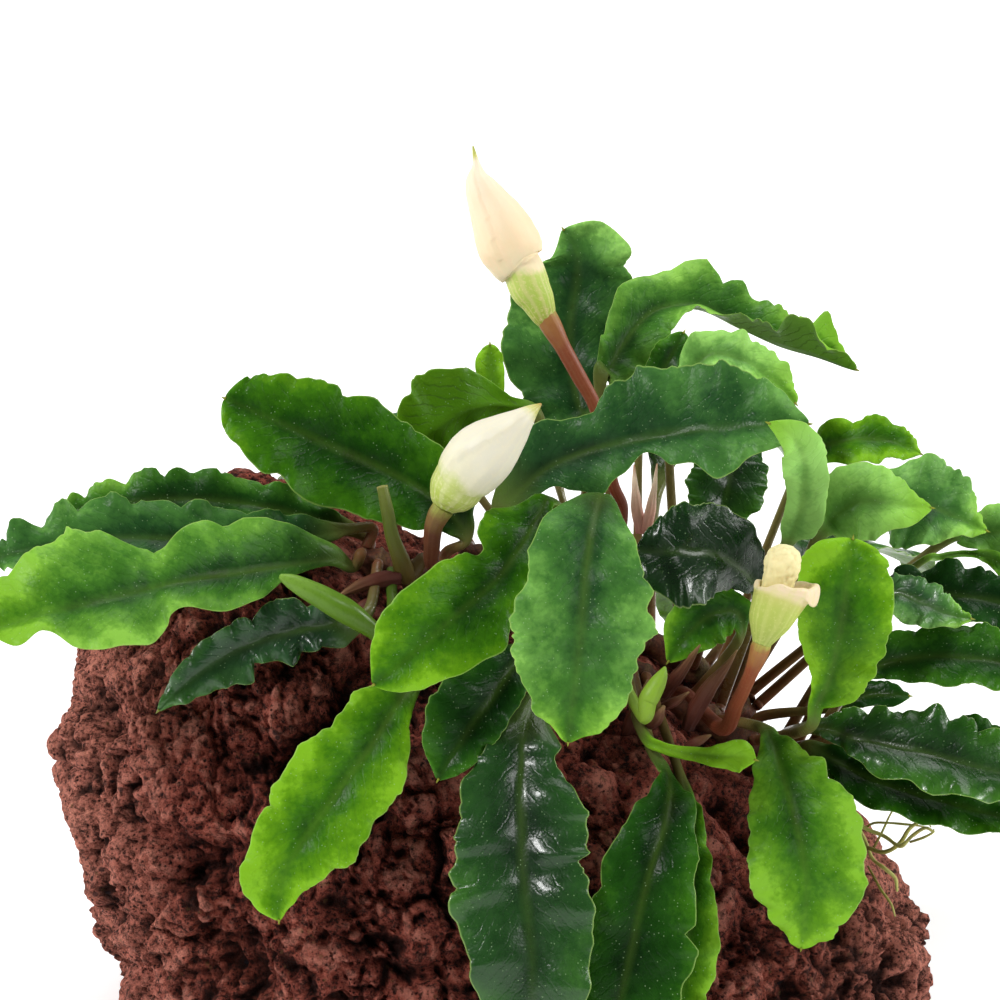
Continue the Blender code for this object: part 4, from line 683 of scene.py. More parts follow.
def make_stone():
    """Lava rock: level superellipse rings pushed along their normals.

    The push is the main relief, then clumps of 7.5, 3.1 and 1.6 mm with grooves between
    them, folded noise 0.4 - |n| of 2.8, 1.5 and 0.95 mm, round bubbles of three sizes
    and a narrow crack in each long hollow. Two fields are kept for painted light: how far
    a point lies under its surroundings, which gives painted shade in the low places and
    painted highlights on the raised ones, and how far out to the left or right it is, as
    clip((|x| - 45) / 19, 0, 1), which gives painted rim light on the sides.
    """
    heights = STONE_HEIGHT * np.linspace(0.0, 1.0, STONE_ROWS)
    even = np.linspace(0.0, 2.0 * np.pi, STONE_COLUMNS, endpoint=False)
    around = even - STONE_FRONT_DENSITY * np.cos(even)
    grid_z, grid_a = np.meshgrid(heights, around, indexing="ij")
    middle_x, middle_y, reach = stone_reach(grid_a, grid_z)
    base = np.stack([middle_x + np.cos(grid_a) * reach, middle_y + np.sin(grid_a) * reach, grid_z],
                    axis=2)
    round_step = np.roll(base, -1, axis=1) - np.roll(base, 1, axis=1)
    normal = unit(np.cross(round_step, np.gradient(base, axis=0))).reshape(-1, 3)
    flat = base.reshape(-1, 3)
    relief = stone_relief(flat)
    warped = flat + drift(flat, 1.7, 5.0, 11) + drift(flat, 0.7, 1.9, 14)

    heads = cuts = risen = 0.0
    for size, groove, seed, tall, deep in CLUMPS:
        head, cut = clumps(warped, size, groove, seed)
        heads = heads + tall * head
        cuts = cuts + deep * cut
        risen = risen + head
    ridges = sum(weight * (0.4 - np.abs(smooth_noise(place, size, seed)))
                 for place, (size, seed, weight) in zip((warped, flat, flat), FOLDS))
    holes = sum(weight * cell_bubbles(warped, size, radius, seed)
                for size, radius, seed, weight in BUBBLES)
    crack = 0.5 * hollow_depth(flat, 9.0, 0.5)
    fine = soft_crest(heads + ridges - cuts - holes - crack + 0.55)
    fine = np.where(fine > 0.0, fine * bare_share(flat, 3.5, 4.0), fine)
    moved = flat + normal * (relief + fine * end_fade(flat[:, 2], 3.0, 0.15))[:, None]
    moved[:, 2] = np.clip(moved[:, 2], 0.0, STONE_HEIGHT)

    rings = moved.reshape(STONE_ROWS, STONE_COLUMNS, 3)
    # How far a point lies under its surroundings, kept for painted light: painted shade where it is sunk,
    # painted highlights where it stands proud
    sunk_for_painted_light = 0.62 * cuts + 0.62 * holes + 0.4 * crack - 0.16 * risen - 1.0 * ridges
    sunk_for_painted_light = sunk_for_painted_light + 0.10 * np.clip(-0.6 - relief, 0.0, 4.0)
    # How far out to the left or right a point is, kept for the painted rim light
    rim_light_share = np.clip((np.abs(rings[:, :, 0]) - RIM_LIGHT_START) / RIM_LIGHT_REACH, 0.0, 1.0)
    values = {"sunk_for_painted_light": sunk_for_painted_light.reshape(STONE_ROWS, STONE_COLUMNS), "rim_light_share": rim_light_share}
    return skin("stone_rock", rings, values, foot=np.zeros(3))


def rhizome_path(side):
    """Lay a creeping stem on the stone."""
    plan = np.array(RHIZOMES[side])
    heights = np.array([stone_top(x, y) for x, y in plan])
    lifted = np.column_stack([plan, heights + 1.45 * RHIZOME_RADIUS + CLEARANCE])
    return through_points(lifted, np.linspace(0.0, len(plan) - 1.0, 3 * len(plan) - 2))


RHIZOME_PATHS = {side: rhizome_path(side) for side in RHIZOMES}


def stem_start(stem):
    """Find where a stalk stands on its creeping stem and which way it sets out."""
    side, share, angle = stem
    path = RHIZOME_PATHS[side]
    shares = np.array([share, min(share + 0.02, 1.0), max(share - 0.02, 0.0)])
    place, ahead, behind = through_points(path, shares * (len(path) - 1.0))
    along = unit(ahead - behind)
    out = unit(SKYWARD - along * np.dot(SKYWARD, along))
    back = np.cross(out, along)
    if back[1] < 0.0:
        back = -back
    tilt = np.radians(angle)
    direction = out * np.cos(tilt) + back * np.sin(tilt)
    return place + direction * (RHIZOME_RADIUS + CLEARANCE), direction


def leaf_frame(leaf, far, turned):
    """Run a leaf's middle line through its table, with its directions and half widths.

    Over the blade the left-hand direction is square to the line and to the front, or
    to the sky; down the stalk it is carried with the least turning.
    """
    start, direction = stem_start(leaf["stem"])
    start = start - direction * STALK_SINK
    placed, wide = read_rows(leaf["rows"], not far)
    points = np.array([start, start + direction * STALK_SETOUT] + placed)
    widths = np.array([(PETIOLE_RADIUS, PETIOLE_RADIUS)] * 2 + wide)
    last = len(points) - 1.0
    share = 1.0 - (1.0 - np.linspace(0.0, 1.0, BLADE_RINGS)) ** TIP_CROWDING
    stalk = np.linspace(0.0, 2.0, STALK_RINGS, endpoint=False)
    stations = np.concatenate([stalk, 2.0 + (last - 2.0) * share])
    blade = np.clip((stations - 2.0) / (last - 2.0), 0.0, 1.0)
    halves = np.maximum(through_points(widths, stations), LEAST_HALF_WIDTH)
    ahead = through_points(points, np.minimum(stations + 0.05, last))
    behind = through_points(points, np.maximum(stations - 0.05, 0.0))
    along = unit(ahead - behind)
    to_sky = far or leaf.get("facing") == "sky"
    left = unit(np.cross(SKYWARD if to_sky else NEARWARD, along))
    for number in range(int(np.argmax(blade >= CARRIED_UP_TO)) - 1, -1, -1):
        kept = left[number + 1] - along[number] * np.dot(left[number + 1], along[number])
        left[number] = unit(kept)
    if turned:
        left = -left
        halves = halves[:, ::-1]
    return stations, blade, through_points(points, stations), along, left, halves


def leaf_margin(sway, side, own):
    """Give a margin's slow wander, its lobes |sin|^0.75 and its small crimps |sin|.

    They are sums of sines of the wave's phase, apart on the two sides and on each leaf.
    """
    wander = np.sin(0.83 * sway + 2.1 * side + own)
    wander = wander + 0.8 * np.sin(1.37 * sway + 4.0 * side + 1.7 * own)
    wander = 0.5 * (wander + 0.7 * np.sin(2.3 * sway + 1.1 * side + 0.6 * own))
    lobe = 0.6 * sway + 1.3 * side + 0.45 * np.sin(0.61 * sway + own + 2.0 * side)
    lobe = np.abs(np.sin(lobe)) ** 0.75 - 0.62
    lobe = lobe * (0.65 + 0.35 * np.sin(0.47 * sway + 1.9 * own + side))
    crimp = 1.7 * sway + 0.8 * side + 1.1 * np.sin(0.83 * sway + 1.7 * own)
    return wander, lobe, np.abs(np.sin(crimp)) - 0.6


def make_leaf(name, leaf, far):
    """Leaf: one closed skin from stalk to point.

    A ring at a station runs over the upper face from the left margin to the right and
    back under it, as c from 1 to -1. The half width follows the table, closed at the
    tip as sqrt(1 - s^12), and scalloped by the wander, the lobes and the crimps. The
    margin is lifted by sine waves that grow as |c|^1.6, by the wander as |c|^3, by the
    lobes as |c|^3.5 and by the crimps as |c|^5. The halves are folded up by an angle
    and puffed up between midrib and margin, with shallow pleats along the veins; the
    midrib is a groove above and a keel below.
    """
    stations, blade, path, along, left, halves = leaf_frame(leaf, far, name in TURNED_LEAVES)
    out = np.cross(along, left)
    marks = [np.array(leaf.get(key, usual), dtype=float)
             for key, usual in (("roll", (0.0, 0.0)), ("fold", (8.0, 8.0)))]
    roll, fold = (np.radians(np.interp(blade, np.linspace(0.0, 1.0, len(mark)), mark))
                  for mark in marks)
    fold = fold * np.clip(blade / 0.15, 0.0, 1.0)
    if not far and leaf.get("facing") != "sky":
        halves = halves * np.where(blade > 0.0, 1.0 / np.cos(roll), 1.0)[:, None]
    turned_left = left * np.cos(roll)[:, None] + out * np.sin(roll)[:, None]
    turned_out = out * np.cos(roll)[:, None] - left * np.sin(roll)[:, None]
    closing = np.sqrt(np.clip(1.0 - blade ** 12, 0.0, 1.0))[:, None]
    flat = (np.clip(blade / 0.2, 0.0, 1.0) ** 0.7)[:, None]
    sway = (2.0 * np.pi * leaf["waves"] * blade + leaf["phase"])[:, None]
    ruffle = (np.clip(blade / 0.2, 0.0, 1.0) * np.clip((1.0 - blade) / 0.1, 0.0, 1.0))[:, None]

    columns = np.cos(np.linspace(0.0, np.pi, BLADE_COLUMNS))
    across = np.concatenate([columns, columns[-2:0:-1]])
    upper = np.concatenate([np.ones(BLADE_COLUMNS), -np.ones(BLADE_COLUMNS - 2)])
    c = across[None, :]
    s = blade[:, None]
    away = np.abs(c)
    side = np.where(c > 0.0, 0.0, 1.0)
    half = np.where(c > 0.0, halves[:, 0:1], halves[:, 1:2])
    own = leaf["phase"] * 7.3 + len(leaf["rows"])
    wander, lobe, crimp = leaf_margin(sway, side, own)
    scallop = 0.045 * wander + 0.22 * leaf["height"] * lobe + 0.03 * crimp
    reach = half * closing * (1.0 + ruffle * scallop)
    wave = 0.8 * np.sin(sway + 1.9 * side) * away ** 1.6 + 0.45 * wander * away ** 3
    wave = wave + 1.6 * lobe * away ** 3.5 + 0.50 * crimp * away ** 5
    wave = leaf["height"] * ruffle * wave
    rib_distance = reach * away
    rib = np.exp(-(rib_distance / RIB_WIDTH) ** 2) * flat * (1.0 - 0.75 * s)
    valley = np.exp(-(rib_distance / VALLEY_WIDTH) ** 2) * flat * (1.0 - 0.6 * s)
    span = np.linalg.norm(np.diff(path, axis=0), axis=1)
    length = np.concatenate([[0.0], np.cumsum(span)])[:, None]
    vein = (length - VEIN_SLANT * reach * away) / VEIN_SPACING
    pillow = 0.06 * reach * np.sin(np.pi * away) * flat
    pillow = pillow * (1.0 + 0.8 * np.sin(0.9 * sway + 2.4 * side + own))
    pleat = 0.022 * np.cos(2.0 * np.pi * vein + 1.1 * wander) * np.sin(np.pi * away)
    pleat = pleat * flat * np.clip(reach / 4.0, 0.0, 1.0)
    round_half = PETIOLE_RADIUS * np.sqrt(np.clip(1.0 - c * c, 0.0, 1.0))
    flat_half = LEAF_HALF_THICKNESS * np.sqrt(np.clip(1.0 - away ** 5, 0.0, 1.0))
    thick = round_half * (1.0 - flat) + flat_half * flat * np.clip(closing * 1.5, 0.0, 1.0)
    facing = upper[None, :]
    lift = wave + pillow + pleat + facing * thick
    lift = lift - np.where(facing > 0.0, 0.10, 0.36) * rib - 0.16 * valley
    turn = fold[:, None]
    aside = c * reach * np.cos(turn)
    lift = lift + away * reach * np.sin(turn)
    rings = path[:, None, :] + turned_left[:, None, :] * aside[:, :, None]
    rings = rings + turned_out[:, None, :] * lift[:, :, None]

    steps = np.linspace(0.0, 1.0, POINT_RINGS)
    circle = np.arctan2(upper * np.sqrt(np.clip(1.0 - across ** 2, 0.0, 1.0)), across)
    ring = np.cos(circle)[:, None] * turned_left[-1] + np.sin(circle)[:, None] * turned_out[-1]
    cone = path[-1] + along[-1] * (steps * POINT_LENGTH - 0.3)[:, None, None]
    cone = cone + ring[None] * (POINT_RADIUS * (1.0 - steps) ** 0.8 + 0.02)[:, None, None]
    rings = np.concatenate([rings[:-1], cone], axis=0)

    def with_point(field, value):
        """Add the point's rings, all of one value, to a field."""
        body = np.broadcast_to(field, (len(path), len(across)))[:-1]
        return np.concatenate([body, np.full((POINT_RINGS, len(across)), value)], axis=0)

    young, cool = LEAF_TONES[name]
    under = np.where(facing < 0.0, 1.0, 0.0)
    foot = np.clip(1.0 - stations / 2.6, 0.0, 1.0)[:, None]
    fields = {"along": (s, 1.0), "across": (away, 0.0), "under": (under, 0.0), "stalk": (1.0 - flat, 0.0),
              "foot": (foot, 0.0), "rib": (rib, 0.0), "valley": (valley, 0.0), "vein": (vein, 0.0),
              "young": (young, young), "cool": (cool, cool), "point": (0.0, 1.0)}
    values = {key: with_point(field, value) for key, (field, value) in fields.items()}
    return skin(name + "_blade", rings, values, foot=path[0], tip=cone[-1].mean(axis=0) + along[-1] * 0.1)


def make_round(name, rows, shape, columns, rings_per_step, stem=None, start=PETIOLE_RADIUS, seen=True):
    """Round piece: circles carried along a smooth curve, their radius run smoothly too.

    shape(share, turn, place) gives a factor for the radius at each share of the length,
    each turn about it and each point, for ribs, knobs, seams and scars.
    """
    path, radii = read_rows(rows, seen)
    if stem is not None:
        foot, direction = stem_start(stem)
        path = [foot - direction * STALK_SINK, foot + direction * STALK_SETOUT] + path
        radii = [(start,), (start,)] + radii
    stations = np.linspace(0.0, len(path) - 1.0, (len(path) - 1) * rings_per_step + 1)
    middle = through_points(path, stations)
    radius = np.maximum(through_points(radii, stations), 0.05)
    along, across, out = carry_frames(middle, np.array([0.9, 0.1, 0.35]))
    length = np.concatenate([[0.0], np.cumsum(np.linalg.norm(np.diff(middle, axis=0), axis=1))])
    share = (length / length[-1])[:, None]
    turn = np.linspace(0.0, 2.0 * np.pi, columns, endpoint=False)[None, :]
    circle = across[:, None, :] * np.cos(turn)[:, :, None] - out[:, None, :] * np.sin(turn)[:, :, None]
    swell = shape(share, turn, middle[:, None, :] + circle * radius[:, :, None])
    rings = middle[:, None, :] + circle * (radius * swell)[:, :, None]
    values = {"along": share, "turn": np.sin(turn) * 0.5 + 0.5, "swell": swell}
    return skin(name, rings, values, foot=middle[0] - along[0] * 0.05, tip=middle[-1] + along[-1] * 0.12)


def lumps(place, size, seed):
    """Smooth noise at the points of a grid."""
    return smooth_noise(place.reshape(-1, 3), size, seed).reshape(place.shape[:2])


def stem_scars(share, turn, place):
    """Creeping stem: eleven ring swells with small lumps."""
    length = share * 11.0
    ring = length - np.floor(length)
    scar = 0.86 + 0.20 * np.exp(-((ring - 0.5) / 0.16) ** 2)
    return scar + 0.10 * lumps(place, 2.2, 90) + 0.05 * lumps(place, 0.9, 91)


def stalk_grain(share, turn, place):
    """Stalk: barely uneven, with shallow lengthwise ribs."""
    return 1.0 + 0.025 * np.cos(9.0 * turn + 3.0 * share) + 0.05 * lumps(place, 2.5, 92)


def furled(share, turn, place):
    """Rolled leaf: the edge of the roll is a step that winds slowly round it."""
    edge = np.mod(turn / (2.0 * np.pi) - 0.35 - 0.25 * share, 1.0)
    return 0.90 + 0.16 * edge + 0.04 * lumps(place, 3.0, 93)


def hooded(share, turn, place):
    """Closed hood: the overlap is a step that winds up it, the upper part is finely crinkled."""
    edge = np.mod(turn / (2.0 * np.pi) - 0.62 - 0.12 * share, 1.0)
    fade = np.clip((share - 0.28) / 0.15, 0.0, 1.0) * np.clip((1.0 - share) / 0.08, 0.0, 1.0)
    crinkle = 0.012 * lumps(place, 1.1, 98) * np.clip((share - 0.3) / 0.06, 0.0, 1.0)
    return 1.0 - 0.045 * fade + 0.07 * edge * fade + crinkle + 0.03 * lumps(place, 5.0, 94)


def wrapped(share, turn, place):
    """Bud in its sheath: two scales overlap, each a step half way round."""
    edge = np.mod(turn / np.pi + 0.3 + 0.3 * share, 1.0)
    return 0.93 + 0.12 * edge + 0.03 * lumps(place, 2.0, 95)


def grained(share, turn, place):
    """Spadix: crowded round knobs, sqrt(1 - (d/r)^2) about scattered middles 0.85 mm apart."""
    middle = cell_lumps(place.reshape(-1, 3), 0.85, 160)[0].reshape(place.shape[:2])
    knobs = np.sqrt(np.clip(1.0 - (middle / 0.62) ** 2, 0.0, 1.0))
    return 0.92 + 0.13 * knobs + 0.03 * lumps(place, 0.9, 96)


def sheathed(share, turn, place):
    """Sheath: a papery scale closed round its stem, flattened, with seven shallow folds."""
    folds = 1.0 - 0.22 * np.sin(turn) ** 2 + 0.07 * np.cos(7.0 * turn + 2.0 * share)
    return folds + 0.10 * lumps(place, 1.4, 99)


def rooted(share, turn, place):
    """Root: uneven thread."""
    return 1.0 + 0.18 * lumps(place, 1.1, 97)


def make_open_spathe():
    """Open hood: a wall run up from inside the stalk, over a rolled lip and down inside.

    The height of the wall grows by a cos(turn - b), its width by c cos(turn - b), and
    both are frilled by sines of 3 and 7 turns, all growing with the share of the
    height. On one side the lip folds over: exp(-d^2) along the profile times
    cos(turn)^6 lowers the rim and pushes it out.
    """
    foot = from_sight(*CUP_FOOT)
    mouth = from_sight(*CUP_MOUTH)
    along = unit(mouth - foot)
    across = unit(RIGHTWARD - along * np.dot(RIGHTWARD, along))
    out = np.cross(along, across)
    fine = np.linspace(0.0, len(CUP_PROFILE) - 1.0, CUP_RINGS)
    table = through_points(CUP_PROFILE, fine)
    high = table[:, 0:1]
    wide = table[:, 1:2] * SIGHT_STEP
    turn = np.linspace(0.0, 2.0 * np.pi, CUP_COLUMNS, endpoint=False)[None, :]
    grow = np.clip((high - 0.25) / 0.75, 0.0, 1.2) ** 1.5
    lean = np.cos(turn - CUP_LIP)
    frill = 0.05 * np.sin(3.0 * turn + 0.6) + 0.025 * np.sin(7.0 * turn + 1.3)
    high = high * (1.0 + grow * (0.13 * lean + 0.6 * frill))
    wide = wide * (1.0 + grow * (0.16 * lean + frill))
    fold = np.exp(-((fine[:, None] - CUP_FOLD_MARK) / 0.8) ** 2) * np.clip(np.cos(turn + 0.1), 0.0, 1.0) ** 6
    high = high - 0.26 * fold
    wide = wide + 2.0 * SIGHT_STEP * fold
    circle = across * np.cos(turn)[:, :, None] + out * np.sin(turn)[:, :, None]
    rings = foot + along * (high * np.linalg.norm(mouth - foot))[:, :, None] + circle * wide[:, :, None]
    values = {"along": np.clip(high, 0.0, 1.3), "turn": np.sin(turn) * 0.5 + 0.5, "swell": grow}
    return skin("spathe_open_cup", rings, values)


class Field:
    """A number or colour over a surface; signs and calls on it add the nodes that give it."""

    def __init__(self, finish, socket):
        self.finish = finish
        self.socket = socket

    def __add__(self, other):
        return self.finish.math("ADD", self, other)

    def __sub__(self, other):
        return self.finish.math("SUBTRACT", self, other)

    def __rsub__(self, other):
        return self.finish.math("SUBTRACT", other, self)

    def __mul__(self, other):
        return self.finish.math("MULTIPLY", self, other)

    def step(self, low, high, start=0.0, end=1.0):
        """Ease from start to end while the field goes from low to high."""
        inputs = dict(enumerate((self, low, high, start, end)))
        return self.finish.node("ShaderNodeMapRange", "Result", inputs, interpolation_type="SMOOTHSTEP")


class Finish:
    """One procedural finish: a surface shader and short calls that feed it."""

    def __init__(self, name):
        self.material = bpy.data.materials.new(name)
        self.material.use_nodes = True
        self.tree = self.material.node_tree
        self.surface = self.tree.nodes["Principled BSDF"]
        self.coords = self.node("ShaderNodeTexCoord", "Object", {})

    def node(self, kind, output, inputs, **settings):
        """Add a node with its inputs and settings and give one of its outputs."""
        made = self.tree.nodes.new(kind)
        for key, value in settings.items():
            setattr(made, key, value)
        for key, value in inputs.items():
            self.feed(made.inputs[key], value)
        return Field(self, made.outputs[output])

    def feed(self, socket, value):
        """Put a number, a colour or a field into a socket."""
        if isinstance(value, Field):
            self.tree.links.new(value.socket, socket)
        elif isinstance(value, tuple) and socket.type == "RGBA":
            socket.default_value = (*value, 1.0)
        else:
            socket.default_value = value

    def fields(self, *names):
        """Read number fields of the mesh."""
        return [self.node("ShaderNodeAttribute", "Fac", {}, attribute_name=name) for name in names]

    def math(self, operation, first, second=0.0, clamp=False):
        """Do one sum."""
        inputs = {0: first, 1: second}
        return self.node("ShaderNodeMath", "Value", inputs, operation=operation, use_clamp=clamp)

    def noise(self, scale, detail=3.0, roughness=0.55, distortion=0.0):
        """Smooth noise, scale in turns per metre."""
        return self.node("ShaderNodeTexNoise", "Fac", {
            "Vector": self.coords, "Scale": scale, "Detail": detail, "Roughness": roughness,
            "Distortion": distortion})

    def cells(self, scale):
        """Distance to the nearest of scattered middles, scale in middles per metre."""
        return self.node("ShaderNodeTexVoronoi", "Distance", {"Vector": self.coords, "Scale": scale})

    def blend(self, share, low, high, kind="MIX"):
        """Mix two colours."""
        inputs = {"Factor": share, 6: low, 7: high}
        return self.node("ShaderNodeMix", 2, inputs, data_type="RGBA", blend_type=kind)

    def cover(self, colour, *layers):
        """Lay colours over one another, each with the share that it covers."""
        for share, tint in layers:
            colour = self.blend(share, colour, tint)
        return colour

    def ramp(self, value, stops):
        """Run a value through colours at marks."""
        made = self.tree.nodes.new("ShaderNodeValToRGB")
        band = made.color_ramp
        while len(band.elements) < len(stops):
            band.elements.new(0.5)
        for element, (mark, *colour) in zip(band.elements, stops):
            element.position = mark
            element.color = (*colour, 1.0)
        self.feed(made.inputs["Fac"], value)
        return Field(self, made.outputs["Color"])

    def bumps(self, *layers):
        """Stack bumps, each (height, strength, distance in metres)."""
        below = {}
        for height, strength, distance in layers:
            inputs = {"Strength": strength, "Distance": distance, "Height": height, **below}
            below = {"Normal": self.node("ShaderNodeBump", "Normal", inputs)}
        self.set(**below)

    def set(self, **sockets):
        """Set the shader's own sockets by name, with underscores for spaces."""
        for key, value in sockets.items():
            self.feed(self.surface.inputs[key.replace("_", " ")], value)


def leaf_finish(name, shine, film):
    """Leaf: old dark to young bright green, cool to warm.

    It is brighter at the margin and darker on the midrib and at the foot, with painted
    shade in the groove beside the midrib. The tip is brighter too, and warmer on the
    younger leaves. Side veins, pale dots and a pale underside lie over that; the stalk
    goes from green to red brown at its foot.
    """
    finish = Finish(name)
    along, away, under, stalk, foot = finish.fields("along", "across", "under", "stalk", "foot")
    rib, valley, vein, point, young, cool = finish.fields("rib", "valley", "vein", "point", "young", "cool")
    broad = finish.noise(85.0, 2.0)
    patch = finish.noise(380.0, 3.0)
    crisp = finish.noise(1300.0, 3.0)
    fine = finish.noise(2600.0, 3.0)
    line = finish.math("FRACT", vein + patch * 1.6)
    line = finish.math("ABSOLUTE", line - 0.5).step(0.0, 0.16, 1.0, 0.0)
    line = line * away.step(0.03, 0.25) * away.step(0.6, 0.95, 1.0, 0.0)
    tip = along.step(0.55, 1.0)
    warming = tip * young.step(0.46, 0.51, 0.0, 0.85)
    cool = cool * (1.0 - warming)
    margin = away.step(0.35, 1.0) * cool.step(0.0, 1.0, 0.28, 0.15)
    gain = margin + tip * 0.28 + along.step(0.05, 0.45, -0.10, 0.0) + away.step(0.0, 0.45, -0.18, 0.0)
    # The darkening of the valley beside the midrib is painted shade in that groove
    gain = gain - valley * 0.14 + (broad - 0.5) * 1.05 + (patch - 0.5) * 0.42 + (crisp - 0.5) * 0.30
    gain = gain * young.step(0.0, 0.45, 0.35, 1.0) * young.step(0.70, 1.0, 1.0, 0.45)
    shade = finish.math("ADD", young, gain, clamp=True)
    colour = finish.blend(cool, finish.ramp(shade, LEAF_SHADES), finish.ramp(shade, COOL_SHADES))
    colour = finish.blend(line * 0.14, colour, (0.55, 0.60, 0.45), "MULTIPLY")
    colour = finish.blend(rib * young.step(0.0, 1.0, 0.16, 0.28), colour, (0.20, 0.34, 0.05))
    pale = finish.blend(cool, (0.07, 0.19, 0.005), (0.32, 0.52, 0.16))
    pale = finish.blend(line * 0.75, finish.blend(0.78, colour, pale), (0.055, 0.13, 0.012))
    dots = finish.cells(1500.0).step(0.09, 0.17, 1.0, 0.0) * finish.noise(500.0, 1.0).step(0.42, 0.54)
    stem = finish.ramp(foot, STALK_SHADES)
    stem = finish.blend(fine.step(0.35, 0.75, 0.0, 0.35), stem, (0.10, 0.12, 0.04))
    colour = finish.cover(colour, (under, pale), (dots * 0.42, (0.32, 0.48, 0.24)),
                          (away.step(0.965, 1.0) * 0.5, (0.34, 0.50, 0.12)),
                          (stalk.step(0.15, 0.85), stem), (point, (0.22, 0.24, 0.03)))
    gloss = patch.step(0.3, 0.7, 0.22, 0.34) + young * 0.14
    finish.set(Base_Color=colour, Roughness=gloss, Specular_IOR_Level=shine, Coat_Weight=film,
               Coat_Roughness=0.08, Subsurface_Weight=0.04, Subsurface_Radius=(0.4, 1.0, 0.2),
               Subsurface_Scale=0.0012)
    finish.bumps((line * -1.0, 0.20, 0.00025), (patch, 0.24, 0.0005),
                 (finish.cells(2200.0), 0.18, 0.00014), (fine, 0.2, 0.0001))
    return finish.material


def stone_finish():
    """Lava rock: red brown grains with grey, ochre and black specks. Painted shade makes it
    near black in the grooves, pores and low places, painted highlights light its raised
    tops and the crests of its fine relief, and painted rim light brightens its sides.
    """
    finish = Finish("lava_rock")
    sunk_for_painted_light, rim_light_share = finish.fields("sunk_for_painted_light", "rim_light_share")
    large = finish.noise(30.0, 4.0, 0.6, 0.4)
    middle = finish.noise(210.0, 5.0, 0.65)
    small = finish.noise(1000.0, 5.0, 0.75)
    grain = finish.noise(3600.0, 3.0, 0.7)
    pores = finish.cells(1250.0)
    # Painted highlight on the raised tops of the stone, broken by the small noise
    risen = sunk_for_painted_light.step(0.10, -0.60, 0.0, 0.72) * small.step(0.38, 0.54, 0.35, 1.0)
    # Painted shade in the pores that the bumps sink in
    holes = pores.step(0.16, 0.34, 1.0, 0.0) * finish.noise(420.0, 2.0).step(0.44, 0.56)
    chips = finish.cells(560.0).step(0.12, 0.26, 1.0, 0.0) * finish.noise(230.0, 2.0).step(0.54, 0.62)
    black = finish.cells(430.0).step(0.14, 0.26, 1.0, 0.0) * finish.noise(170.0, 2.0).step(0.57, 0.63)
    colour = finish.cover(
        finish.ramp(middle, STONE_SHADES),
        (large.step(0.47, 0.72, 0.0, 0.40), (0.16, 0.055, 0.028)),
        # Painted highlights on the crests of the small and fine noise and painted shade in their low spots,
        # where the bumps rise and fall
        (small.step(0.48, 0.64, 0.0, 0.70), (0.60, 0.150, 0.095)),
        (small.step(0.41, 0.50, 0.95, 0.0), (0.022, 0.005, 0.003)),
        (grain.step(0.52, 0.68, 0.0, 0.45), (0.66, 0.25, 0.18)),
        (grain.step(0.34, 0.46, 0.50, 0.0), (0.020, 0.005, 0.003)),
        (risen, (0.80, 0.30, 0.215)),
        # Painted rim light on the left and right sides of the stone
        (rim_light_share * small.step(0.40, 0.58, 0.04, 0.80), (0.94, 0.36, 0.26)),
        # Painted shade in the grooves, bubbles, cracks and low places, and in the pores
        (sunk_for_painted_light.step(0.10, 1.1, 0.0, 0.92), (0.010, 0.003, 0.002)),
        (holes * 0.9, (0.010, 0.003, 0.003)),
        (chips * 0.45, (0.26, 0.15, 0.06)),
        (black * 0.8, (0.012, 0.013, 0.018)))
    finish.set(Base_Color=colour, Roughness=grain.step(0.3, 0.7, 0.62, 0.95), Specular_IOR_Level=0.16)
    finish.bumps((middle, 0.7, 0.004), (small, 1.0, 0.0030),
                 (finish.math("MINIMUM", pores, 0.42), 0.9, 0.0012), (grain, 1.0, 0.0011))
    return finish.material


def stem_finish():
    """Creeping stem: red brown bark, pale on the scar rings, with dark flecks."""
    finish = Finish("creeping_stem")
    swell, = finish.fields("swell")
    broad = finish.noise(300.0, 4.0)
    fine = finish.noise(2400.0, 4.0, 0.65)
    colour = finish.cover(finish.ramp(broad, BARK_SHADES),
                          (swell.step(0.98, 1.12, 0.0, 0.5), (0.22, 0.15, 0.07)),
                          (fine.step(0.35, 0.6, 0.6, 0.0), (0.018, 0.010, 0.006)))
    finish.set(Base_Color=colour, Roughness=fine.step(0.3, 0.7, 0.45, 0.72), Specular_IOR_Level=0.18)
    finish.bumps((broad, 0.4, 0.0004), (fine, 0.6, 0.00025))
    return finish.material


def shaded_finish(name, stops, speck, low_gloss, high_gloss, ribs=0.0, glow=0.05):
    """Stalks, hoods and roots: colours along the piece, broken by noise and fine ribs."""
    finish = Finish(name)
    along, turn, swell = finish.fields("along", "turn", "swell")
    broad = finish.noise(260.0, 3.0)
    fine = finish.noise(2200.0, 3.0, 0.6)
    share = finish.math("ADD", along, (broad - 0.5) * 0.16, clamp=True)
    layers = [(fine.step(0.50, 0.72, 0.0, 0.35), speck)]
    grain = [(fine, 0.25, 0.00012)]
    if ribs:
        stripe = finish.math("SINE", turn * ribs)
        layers.append((stripe.step(0.1, 1.0, 0.0, 0.22), speck))
        grain.append((stripe, 0.08, 0.00012))
    layers.append((swell.step(0.90, 0.97, 0.22, 0.0), speck))
    colour = finish.cover(finish.ramp(share, stops), *layers)
    finish.set(Base_Color=colour, Roughness=broad.step(0.3, 0.7, low_gloss, high_gloss),
               Specular_IOR_Level=0.22, Subsurface_Weight=glow, Subsurface_Radius=(1.0, 0.7, 0.4),
               Subsurface_Scale=0.002)
    finish.bumps(*grain)
    return finish.material


def show(piece, finish, node=None):
    """Dress a finished piece and put it in its node's place, if it has one."""
    piece.data.materials.append(finish)
    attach(piece, "root")
    if node:
        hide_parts(node)


